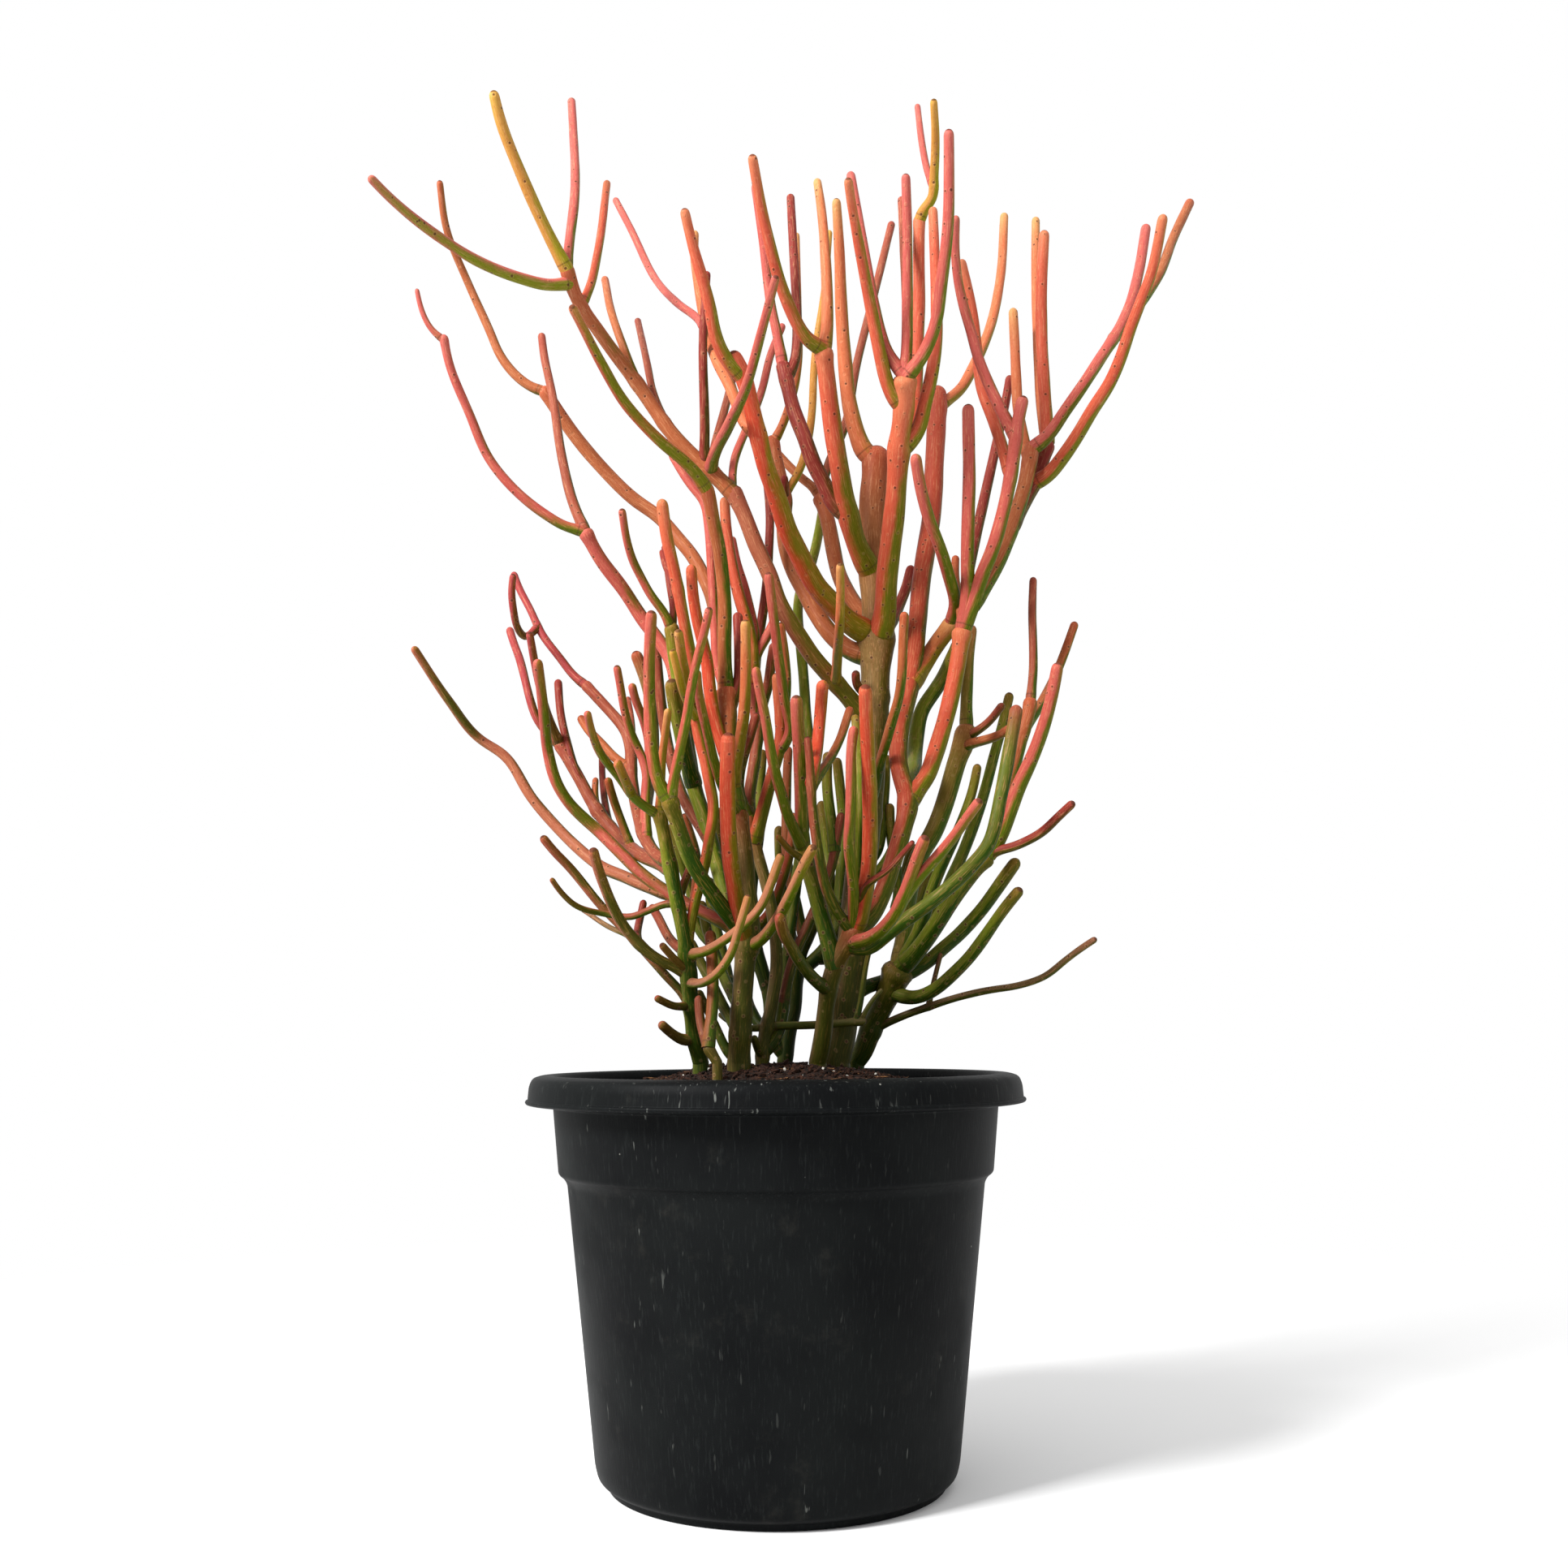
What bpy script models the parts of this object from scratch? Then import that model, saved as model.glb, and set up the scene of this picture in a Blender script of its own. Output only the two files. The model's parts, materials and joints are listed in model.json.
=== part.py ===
"""Potted firestick pencil cactus: a bushy plant of round leafless shoots in a nursery pot.

The shoots were read by eye off the front view. Each row below holds one shoot: its name, the
shoot it grows from, its width at the foot and at the tip, its depths from foot to tip (negative
is toward the viewer), and its line as (across, up) readings on the upright plane through the
pot's axis. All readings are millimetres.
"""

import math

import bmesh
import bpy
from mathutils import Matrix, Vector

MM = 0.001

VIEW_DISTANCE = 1086.0
VIEW_ACROSS = 6.7
VIEW_UP = 283.6
DEPTH_STRETCH = 1.6

SHOOT_SIDES = 6
WIDTH_MAKE_UP = 1.05
THIN_BY = 2.85
TIP_BACK = 0.6
TIP_NARROW = 0.45
FEWEST_MM = 0.01

FOOT_LEVEL = 205.0
COLLAR_LEVEL = 264.0
SEAT_GAP = 0.3
HOLE_OVERSHOOT = 30.0

POT_SIDES = 40
SOIL_SIDES = 36
POT_OUTSIDE = (
    (108.0, 0.0),
    (109.0, 3.5),
    (115.3, 7.0),
    (116.8, 12.0),
    (136.8, 188.5),
    (138.6, 191.0),
    (141.6, 192.6),
    (142.9, 194.5),
    (146.8, 236.6),
    (163.8, 238.8),
    (165.0, 240.2),
    (163.3, 242.2),
    (162.6, 250.2),
    (161.2, 253.2),
    (158.4, 255.4),
    (154.0, 256.6),
    (148.5, 256.9),
    (145.6, 255.4),
    (144.8, 252.0),
)
POT_INSIDE = (
    (144.5, 236.0),
    (140.5, 193.0),
    (134.5, 188.0),
    (114.6, 12.0),
    (112.0, 5.2),
)
POT_FLOOR_TOP = 5.2
SOIL_PROFILE = (
    (111.7, 5.5),
    (114.2, 12.2),
    (134.1, 188.2),
    (140.0, 193.3),
    (144.0, 236.0),
    (144.1, 239.0),
    (128.0, 241.5),
    (104.0, 245.5),
    (78.0, 253.0),
    (45.0, 260.0),
)
SOIL_TOP = 261.6
SOIL_BOTTOM = 5.5

COLOURS = {
    "pot": (0.022, 0.024, 0.024),
    "soil": (0.055, 0.032, 0.022),
    "trunk_cane": (0.62, 0.20, 0.12),
    "left_cane": (0.36, 0.26, 0.09),
    "tan_cane": (0.60, 0.24, 0.16),
    "small_cane": (0.40, 0.20, 0.13),
    "middle_cane": (0.52, 0.17, 0.12),
    "front_cane": (0.66, 0.24, 0.20),
    "right_cane": (0.22, 0.24, 0.06),
    "back_cane": (0.10, 0.15, 0.035),
}
CANE_ROUGHNESS = 0.42
POT_ROUGHNESS = 0.5
SOIL_ROUGHNESS = 0.95


TRUNK = (
    ("trunk", "", 20, 17, (16, 24, 30),
     ((39, 246), (42.5, 280), (47, 310), (52, 340), (57, 380), (62, 420), (66, 460), (69, 500),
      (71, 540), (71.5, 580), (69, 620), (70.3, 650), (73.2, 680), (74, 694))),
    ("right front limb", "trunk", 14, 13, (-14, -44),
     ((73, 548), (75.5, 560), (79.8, 600), (86.2, 650), (90.6, 700), (94, 725), (95, 748))),
    ("c1", "right front limb", 9.5, 6, (-60, -95),
     ((91, 722), (86.9, 730), (82.4, 740), (78, 760), (71.1, 800), (64.5, 840), (58, 882),
      (56, 899))),
    ("c2", "right front limb", 8, 6, (-48, -30),
     ((93, 746), (89, 754), (82.2, 765), (77.7, 780), (73.7, 800), (67, 842), (60.5, 885),
      (57.8, 903))),
    ("e1", "right front limb", 8, 6, (-55, -70),
     ((95.5, 746), (96.8, 770), (97.6, 800), (98.6, 870), (98.2, 902))),
    ("e2", "right front limb", 6, 5, (-25, 0),
     ((97, 748), (96.5, 780), (95.5, 850), (94.7, 883))),
    ("f0", "right front limb", 9, 7.5, (-16, -8, -4),
     ((97, 694), (100, 712), (102.5, 735), (103.5, 755), (104.5, 775), (106, 800), (106.6, 840),
      (107.5, 869))),
    ("f1", "f0", 7, 5, (-20, -40),
     ((107.5, 864), (111, 874), (116.3, 880), (118.8, 900), (120.5, 930), (119.8, 961))),
    ("f2", "f1", 5, 4, (-5, 10),
     ((117.5, 892), (113.8, 905), (111.3, 920), (107.7, 956))),
    ("g", "right front limb", 9, 7, (-75, -95),
     ((96, 744), (107.5, 761), (116, 780), (123, 820), (128.1, 860), (130, 910), (130.4, 937))),
    ("b", "trunk", 11.5, 6, (20, 0),
     ((72, 684), (66, 688), (61, 700), (55.9, 720), (52, 760), (50, 800), (49.2, 840),
      (47.3, 883))),
    ("inner limb", "trunk", 13.5, 11, (-8, -30),
     ((69, 598), (64, 610), (59.5, 620), (54, 640), (50, 660), (47, 680), (44, 700), (41.5, 720),
      (39, 745), (36.5, 770))),
    ("a", "inner limb", 8.5, 5.5, (-30, -20),
     ((37, 764), (39.5, 780), (40, 800), (38.9, 840), (35.8, 880), (33.4, 898))),
    ("a1", "inner limb", 9, 6.5, (-55, -80),
     ((35, 766), (25, 775), (17, 789), (12, 801), (5.5, 820), (0.5, 840), (-6, 870), (-14, 918))),
    ("m", "inner limb", 11, 9, (0, 8),
     ((50, 642), (43, 652), (36.5, 666), (29.5, 680), (23, 700), (15.5, 720), (11, 740), (7, 758))),
    ("m1", "m", 7, 5.5, (5, -5),
     ((7.5, 756), (3.5, 780), (-0.5, 800), (-3, 820), (-6, 850), (-12, 895))),
    ("m2", "m", 7, 5.5, (18, 30),
     ((11, 744), (16.5, 758), (18, 772), (17.8, 800), (16, 840), (14, 886))),
    ("d0", "trunk", 10.5, 9.5, (52, 62),
     ((68, 560), (56, 580), (46, 600), (42, 620), (38.5, 640), (33, 659))),
    ("d", "d0", 6, 5, (70, 75, 95),
     ((34, 656), (36, 668), (40, 682), (51, 707), (60.5, 755), (73, 805), (87.6, 864))),
    ("d1", "d0", 6, 5, (80, 92),
     ((34, 656), (29, 664), (22, 669), (14, 677), (5, 687), (-6, 700), (-22, 722), (-34, 760))),
    ("cross limb", "trunk", 12, 9, (44, 52),
     ((66, 540), (54, 545), (48, 549), (40, 557), (30, 572), (22, 588), (14, 604), (9, 620),
      (8, 640), (8, 655), (3, 680), (-1, 702))),
    ("o", "cross limb", 5.5, 4.5, (70, 74),
     ((8, 657), (12, 664), (17, 672), (21.5, 683), (25, 697), (28.5, 722), (29.5, 745), (32, 772),
      (38, 810), (42, 858))),
    ("p", "cross limb", 5.5, 4.5, (42, 36, 44),
     ((-1, 696), (4, 703), (9.5, 716), (13, 727), (16, 738), (19, 758), (19, 790), (18, 856))),
    ("p1", "cross limb", 5.5, 5, (40,),
     ((6, 652), (8.5, 661), (8.3, 673))),
    ("coral limb", "trunk", 14.5, 10, (-4, -40, -60),
     ((68, 556), (58, 562), (50, 568), (42, 578), (30, 592), (24, 603), (16, 620), (10, 633),
      (6.5, 645), (2, 660), (-5.5, 682), (-9.5, 700), (-14, 720), (-20, 745), (-29, 766))),
    ("left limb", "trunk", 11, 10, (0, -4),
     ((68, 494), (60, 501), (53.5, 510), (45, 520), (37.5, 529), (27.4, 541), (20, 552.5),
      (13, 564), (4, 580), (-2.4, 600), (-11.4, 620), (-21.5, 647), (-30, 665))),
    ("l0", "left limb", 10, 8, (-8, -45),
     ((-27, 658), (-33.8, 666), (-47.4, 679), (-68, 700), (-95, 740), (-122.6, 779), (-141.8, 810),
      (-149, 833))),
    ("l1", "l0", 8.5, 7, (-62, -80),
     ((-148, 828), (-158.7, 850), (-181, 900), (-199.6, 950), (-204.4, 970))),
    ("l2", "l0", 7, 5.5, (-30, 10),
     ((-149, 829), (-146.3, 850), (-143.3, 880), (-145, 940), (-146.5, 962))),
    ("l3", "l0", 8, 6, (-75, -120),
     ((-146, 818), (-160, 817), (-180, 822), (-210, 834.5), (-240, 854), (-280, 888), (-293, 902))),
    ("l0a", "l0", 6, 5, (-20, 5),
     ((-136, 802), (-131, 815), (-126, 840), (-119.5, 897))),
    ("l0b", "l0", 6, 5, (-15, 25),
     ((-97, 742), (-106, 768), (-112, 785), (-120.5, 822))),
    ("l0c", "l0", 5.5, 4.5, (0, 40),
     ((-77, 713), (-85, 735), (-89, 755), (-96.5, 790))),
    ("sa", "l0", 7, 5, (-24, -30),
     ((-47, 679), (-48.3, 690), (-48.1, 700), (-49.3, 780), (-46.5, 827))),
    ("sb", "sa", 5.5, 4.5, (45, 75),
     ((-49, 784), (-52.8, 790), (-67.3, 802), (-85.6, 824), (-102, 860), (-113.7, 883.5))),
    ("sc", "l0", 8, 5.5, (-85, -125),
     ((-44, 676), (-42, 686), (-31, 710), (-18.2, 740), (-7.5, 780), (3.3, 823))),
    ("sd", "l0", 6, 5, (5, 30),
     ((-43, 677), (-41, 695), (-37, 710), (-30, 738), (-26, 756))),
    ("se", "left limb", 5.5, 5, (15, 32),
     ((-30, 662), (-27, 685), (-21, 701), (-7.6, 735), (-1, 763), (8, 786))),
    ("h4", "left limb", 6.8, 5.2, (-40, -60),
     ((43, 522), (44.5, 545), (46.5, 570), (47, 590), (47, 608))),
    ("f3", "right front limb", 10, 6, (-36, -34, -22),
     ((98, 688), (103.5, 705), (108, 722), (112, 738), (115.5, 755), (118, 775), (118.5, 800),
      (118, 840), (117.5, 875))),
    ("n1", "coral limb", 9.5, 6.5, (-75, -90),
     ((-19, 746), (-25, 751), (-33.5, 761), (-41, 780), (-44.5, 800), (-49.6, 820), (-55.5, 841),
      (-60.5, 862), (-63.5, 876))),
    ("n2", "coral limb", 8, 5.5, (-30, 0, 10),
     ((-15, 700), (-20, 712), (-26, 728), (-31.5, 742), (-39, 757), (-45, 775), (-50, 797),
      (-53.5, 820), (-56, 842), (-55.5, 858))),
    ("brown stub", "trunk", 8, 6.5, (52, 58),
     ((77, 552), (83, 566), (88, 578), (93, 590), (97, 606))),
    ("dark green", "trunk", 9, 6, (50, 66, 60, 48),
     ((46, 304), (60, 313), (78, 319), (92, 330), (104, 352), (112, 368), (120, 386), (128, 403),
      (135, 420), (141, 436), (146, 452), (151, 470), (157, 490), (163.5, 515))),
    ("trunk stub", "trunk", 5.5, 5.5, (12,),
     ((62, 512), (57.5, 520), (57, 531))),
    ("olive shoot", "trunk", 6.5, 6, (-14, -36, -44),
     ((64, 430), (69, 447), (73, 467), (77, 480), (82, 497), (86.5, 512), (89, 530), (90, 550),
      (91.5, 573))),
)

LEFT = (
    ("stem", "", 10, 8, (-14, -34, -50),
     ((-50, 246), (-53, 275), (-57, 305), (-60, 340), (-62, 352), (-66, 370), (-70, 390),
      (-74, 410), (-77, 425), (-79.5, 436))),
    ("w4", "stem", 5.5, 5, (-56, -70),
     ((-79, 432), (-78, 445), (-77, 470), (-74, 495), (-73, 505))),
    ("x1", "stem", 6.5, 8, (-44, -40, -60, -75),
     ((-60, 335), (-58, 350), (-54, 372), (-49, 390), (-44.5, 415), (-41.5, 436), (-45, 455),
      (-48, 470), (-52, 485), (-54, 505), (-57, 540), (-61, 560), (-68.5, 600), (-75, 630),
      (-78.5, 656))),
    ("maroon twig", "x1", 5, 4, (-40,),
     ((-66, 590), (-71, 598), (-75, 606), (-78, 618))),
    ("pa", "x1", 5.5, 5, (-75, -85),
     ((-55, 498), (-61, 512), (-65, 525), (-70.5, 547))),
    ("pb", "x1", 6.5, 6, (-66, -80),
     ((-55, 506), (-59, 520), (-62.5, 535), (-66.5, 561))),
    ("t1", "stem", 6, 5, (-60, -95),
     ((-78, 430), (-83, 434), (-88, 436), (-95, 442), (-107, 458), (-119, 473), (-126.5, 492),
      (-129, 503))),
    ("t1a", "t1", 6, 6, (-80,),
     ((-98, 446), (-103, 457), (-108, 468))),
    ("q2", "stem", 9, 7, (16, 24, 30),
     ((-71, 393), (-79, 398), (-88, 402), (-98, 408), (-110, 420), (-119, 431), (-126, 442),
      (-134, 457), (-141, 469), (-149, 483))),
    ("q2a", "q2", 6, 5, (10, -10),
     ((-148, 480), (-156, 500), (-163, 525), (-170, 560))),
    ("q2b", "q2", 5.5, 5, (30, 50),
     ((-147, 478), (-157, 489), (-163, 497), (-168, 510), (-172, 525), (-177, 543), (-181, 553),
      (-184, 563))),
    ("q2c", "q2", 5.5, 5, (28, 40),
     ((-121, 434), (-131, 452), (-138, 466), (-142, 480), (-147, 500), (-149.5, 526))),
    ("q2d", "q2", 4.5, 4, (35, 50),
     ((-112, 423), (-116, 440), (-118, 458), (-118.5, 474))),
    ("q2e", "q2", 5.5, 5.5, (4, -6),
     ((-97, 408), (-102, 420), (-107, 433), (-111.5, 446), (-114.5, 457))),
    ("l11", "stem", 8, 6.5, (-10, 10, 20),
     ((-72, 398), (-80, 403), (-88, 415), (-93, 430), (-96, 445), (-98, 460), (-99, 478),
      (-103, 491), (-112, 502), (-122, 513), (-132, 524))),
    ("l10", "l11", 5.5, 4.5, (25, 40),
     ((-130, 521), (-138, 528), (-148, 541), (-161, 558), (-170, 577), (-178, 592), (-182, 603))),
    ("l11a", "l11", 6, 5.5, (10, 20),
     ((-98, 463), (-103, 466), (-110, 471), (-119, 481), (-127, 489), (-134, 500))),
    ("l11b", "l11", 6, 5, (-20, -40),
     ((-87, 413), (-88, 440), (-88, 462), (-92, 474), (-98, 487), (-103, 503), (-106, 520),
      (-109, 536))),
    ("l11c", "l11", 6.5, 5.5, (0, -20),
     ((-89, 418), (-88, 450), (-86, 480), (-91, 500), (-96, 512), (-98.5, 523))),
    ("l11d", "l11", 7.5, 7.5, (46, 40),
     ((-90, 420), (-86, 450), (-83, 480), (-85, 510), (-91, 532), (-96.5, 546))),
    ("l11e", "l11", 4, 3.5, (40,),
     ((-98, 470), (-97.5, 490), (-98.5, 500), (-101, 513))),
    ("tan shoot", "stem", 7, 6.5, (-40, -75),
     ((-58, 322), (-66, 327), (-76, 331), (-84, 336), (-92, 343), (-100, 352), (-106, 361),
      (-111, 371), (-115.5, 382), (-120, 394), (-124, 408))),
    ("twig a", "stem", 4.5, 3.5, (-30, -50),
     ((-66, 370), (-72, 371), (-80, 368), (-90, 364), (-97, 361), (-106, 362), (-117, 364),
      (-127, 366), (-134, 368.5), (-141, 374), (-148, 382), (-152, 388))),
    ("twig b", "stem", 5.5, 5.5, (-24, -16, -20, -30),
     ((-58, 300), (-64, 312), (-72, 320), (-79, 328), (-88, 338), (-97, 348), (-106, 357),
      (-115, 366), (-122, 374), (-130, 384), (-140, 396), (-150, 406), (-159, 417))),
    ("stub a", "stem", 6.5, 6, (-22, -34),
     ((-52, 280), (-60, 278), (-69, 283), (-77, 290))),
    ("stub b", "stem", 5, 4.5, (-30, -44),
     ((-57, 302), (-62, 301), (-67, 301), (-73, 303.5), (-80, 307))),
    ("twig c", "twig b", 3.5, 3, (-10, 0),
     ((-97, 348), (-104, 351), (-112, 354.5), (-120, 359.5), (-127, 364.5), (-131, 367))),
    ("y2", "stem", 6.5, 5.5, (-50, -56, -60),
     ((-53, 336), (-47, 338), (-40, 341.5), (-32, 347), (-25, 352), (-17, 359), (-10, 367),
      (-5, 377), (-1, 388), (2, 397), (5, 404))),
    ("y4", "stem", 6, 5, (-52, -58, -62, -66, -68),
     ((-59, 317), (-52, 316.5), (-46, 318), (-40, 322), (-34, 329), (-29, 338), (-26, 348),
      (-23, 358), (-20, 368), (-18, 376))),
    ("stub c", "stem", 5, 4.5, (-44,),
     ((-60, 325), (-66, 331), (-77, 343))),
    ("low dusky", "stem", 6, 5.5, (-20, -8),
     ((-64, 336), (-71, 346), (-76, 355), (-79.5, 362), (-84, 369))),
    ("low maroon", "tan shoot", 5, 4.5, (-12, -10),
     ((-92, 343), (-93, 352), (-91, 362), (-88.7, 373))),
    ("l10a", "l10", 5, 4.5, (4, -6),
     ((-166, 563), (-173, 556), (-178, 562), (-181, 574), (-183, 588), (-182, 602))),
    ("q2f", "q2", 4.5, 4, (28,),
     ((-121, 434), (-123, 445), (-122.5, 457))),
)

TAN = (
    ("stem", "", 13.5, 11, (-22, -30, -26),
     ((-24.5, 246), (-24, 275), (-22, 310), (-20, 335), (-17, 360), (-19, 380), (-20.5, 400),
      (-23, 420), (-25.5, 436))),
    ("x2", "stem", 6.5, 5.5, (-58, -84),
     ((-24, 430), (-29, 438), (-34, 447), (-41, 467), (-46, 488), (-50, 505), (-52.5, 520),
      (-53, 532))),
    ("x3", "stem", 11, 9.5, (-58, -74),
     ((-19, 342), (-23, 356), (-27, 380), (-30, 400), (-31.5, 420), (-32, 445), (-32, 470),
      (-31.5, 488))),
    ("tb", "stem", 10.5, 11, (-20, -12),
     ((-25, 432), (-28, 446), (-31, 465), (-31.5, 485), (-32, 505), (-33, 521))),
    ("tb2", "tb", 9, 8.5, (-18, -42),
     ((-33, 516), (-34, 540), (-34, 560), (-34, 580), (-35.5, 600), (-38, 620), (-42, 640),
      (-44.5, 655), (-48, 668))),
    ("l5b", "tb2", 8, 6, (-70, -125),
     ((-46.5, 662), (-53, 673), (-60, 681), (-80, 699), (-101, 722), (-122, 757), (-137, 787),
      (-144, 801))),
    ("ta", "tb", 6, 5.5, (6, 10, 20),
     ((-34, 516), (-38.5, 531), (-40.8, 560), (-43, 600), (-46, 640), (-49, 655), (-54, 661),
      (-60, 669), (-66, 679), (-72, 690))),
    ("x4", "tb", 8, 6.5, (-42, -55),
     ((-28, 447), (-27, 458), (-24.5, 475), (-22, 490), (-20, 510), (-19.3, 540), (-19.5, 568))),
    ("u1", "tb", 8.5, 7, (-22, -40),
     ((-31, 468), (-37.5, 485), (-41.5, 500), (-44.5, 520), (-46.5, 540), (-50, 555), (-53.5, 570),
      (-56.5, 590), (-57.5, 608))),
    ("stub", "tb", 7, 6.5, (-4,),
     ((-29, 500), (-25, 520), (-24, 545), (-25, 573))),
    ("w1", "stem", 10, 9.5, (-52, -74),
     ((-21, 346), (-28, 358), (-36, 368), (-46, 382), (-54, 394), (-58, 402), (-64, 418),
      (-69, 433), (-73, 445))),
    ("w2", "w1", 8.5, 7, (-80, -100),
     ((-71, 440), (-78, 450), (-82, 462), (-84.5, 480), (-86, 510), (-86.3, 540), (-85, 575))),
    ("w3", "w1", 7, 5.5, (-90, -115),
     ((-71, 439), (-69, 455), (-67, 465), (-64, 480), (-60, 500), (-57, 520), (-53, 540),
      (-48, 560), (-44.5, 577))),
    ("q", "stem", 8.5, 6.5, (-14, -5, -20, -60),
     ((-20, 344), (-30, 354), (-42, 361), (-56, 368), (-72, 377), (-82, 384), (-92, 392),
      (-102, 402), (-112, 412), (-120, 420), (-128, 427), (-141, 440), (-150, 455), (-155.5, 475),
      (-158.5, 500), (-164, 540))),
    ("l9", "q", 8, 5, (14, 18, -20),
     ((-72, 377), (-84, 381), (-94, 385), (-105, 390), (-113.4, 393), (-133.4, 408), (-150.5, 425),
      (-166, 443), (-186.5, 474), (-200.8, 483), (-224.3, 511), (-250.7, 550))),
    ("z", "stem", 10, 8, (0, 8, 0),
     ((-18, 352), (-29, 364), (-34, 378), (-38, 392), (-45, 418), (-50, 435), (-55, 450),
      (-58, 470), (-61, 490), (-64, 510), (-67, 530), (-70, 548), (-71, 567))),
    ("z1", "z", 10, 10, (-22, -34),
     ((-55, 452), (-60, 470), (-64, 490), (-68, 508), (-71, 526))),
    ("z2", "z", 6, 5, (-10, -30),
     ((-71, 560), (-76, 573), (-85, 585), (-93, 600), (-98, 610), (-102.5, 625), (-106.5, 649))),
    ("z3", "z", 5, 4, (4, 10),
     ((-70.5, 562), (-69.5, 575), (-72, 590), (-76.5, 622))),
    ("l8", "z", 9, 8.5, (18, 10, 0),
     ((-65, 520), (-72.5, 542), (-92, 570), (-104.6, 590), (-121, 612), (-133.5, 635))),
    ("l5", "l8", 6.5, 5.5, (-10, -30),
     ((-131, 632), (-138, 634), (-145.6, 636), (-157.4, 643), (-182, 663), (-200, 685),
      (-215.6, 720), (-231.7, 760), (-236, 780))),
    ("l5a", "l5", 4.5, 3, (-36,),
     ((-235.5, 775), (-244, 783), (-251.8, 798), (-256, 815))),
    ("l6", "l8", 7, 5, (20, 40),
     ((-132, 632), (-140.4, 652), (-148.8, 685), (-157, 735), (-163.5, 765), (-165.4, 780))),
    ("x5", "z", 7.5, 6, (30, 24),
     ((-43, 412), (-50, 422), (-56, 431), (-62, 442), (-67, 455), (-71, 470), (-75, 490),
      (-78, 510), (-80.5, 535), (-83, 560))),
    ("l7", "tb", 9, 8.5, (26, 44, 50, 40),
     ((-32, 512), (-36, 535), (-39, 560), (-44, 588), (-50, 602), (-57, 615), (-66, 626),
      (-80.5, 643), (-97, 655), (-119.8, 678), (-141, 704), (-153.8, 723), (-164.4, 740))),
    ("l4", "l7", 6.3, 4.5, (40, 10),
     ((-162, 736), (-169, 738), (-179.5, 745), (-195.2, 764.6), (-201.6, 780), (-219.4, 820),
      (-236, 862), (-241.8, 899))),
    ("y1", "stem", 7.5, 6.5, (-58, -85),
     ((-20, 341), (-13, 343), (-6, 349), (0, 357), (6, 367), (11, 377), (16, 388), (21, 398),
      (27, 409))),
    ("low green", "stem", 6, 5, (-20, -18),
     ((-29, 262), (-33, 272), (-38, 283), (-43, 294), (-49, 305), (-52, 312))),
    ("q0", "q", 5.5, 5, (-16, -22),
     ((-65, 374), (-61, 386), (-57, 396), (-54, 408))),
    ("low green 2", "stem", 7, 6, (-6, 4),
     ((-27, 283), (-34, 299), (-42, 315), (-50, 330), (-58, 346))),
    ("low green 3", "stem", 7, 6, (4, 10),
     ((-27, 298), (-33, 317), (-40, 335), (-46, 352), (-50, 372))),
)

SMALL = (
    ("stem", "", 6.5, 6, (-40, -40),
     ((-39, 246), (-42, 262), (-46.5, 276))),
    ("a", "stem", 6, 5.5, (-34, -34),
     ((-45.5, 272), (-49, 285), (-51.3, 300), (-51.5, 308.5))),
    ("b", "stem", 7.5, 7, (-34, -26),
     ((-46, 273), (-44, 285), (-42.5, 298), (-42, 320), (-43, 338), (-44, 352))),
)

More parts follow.
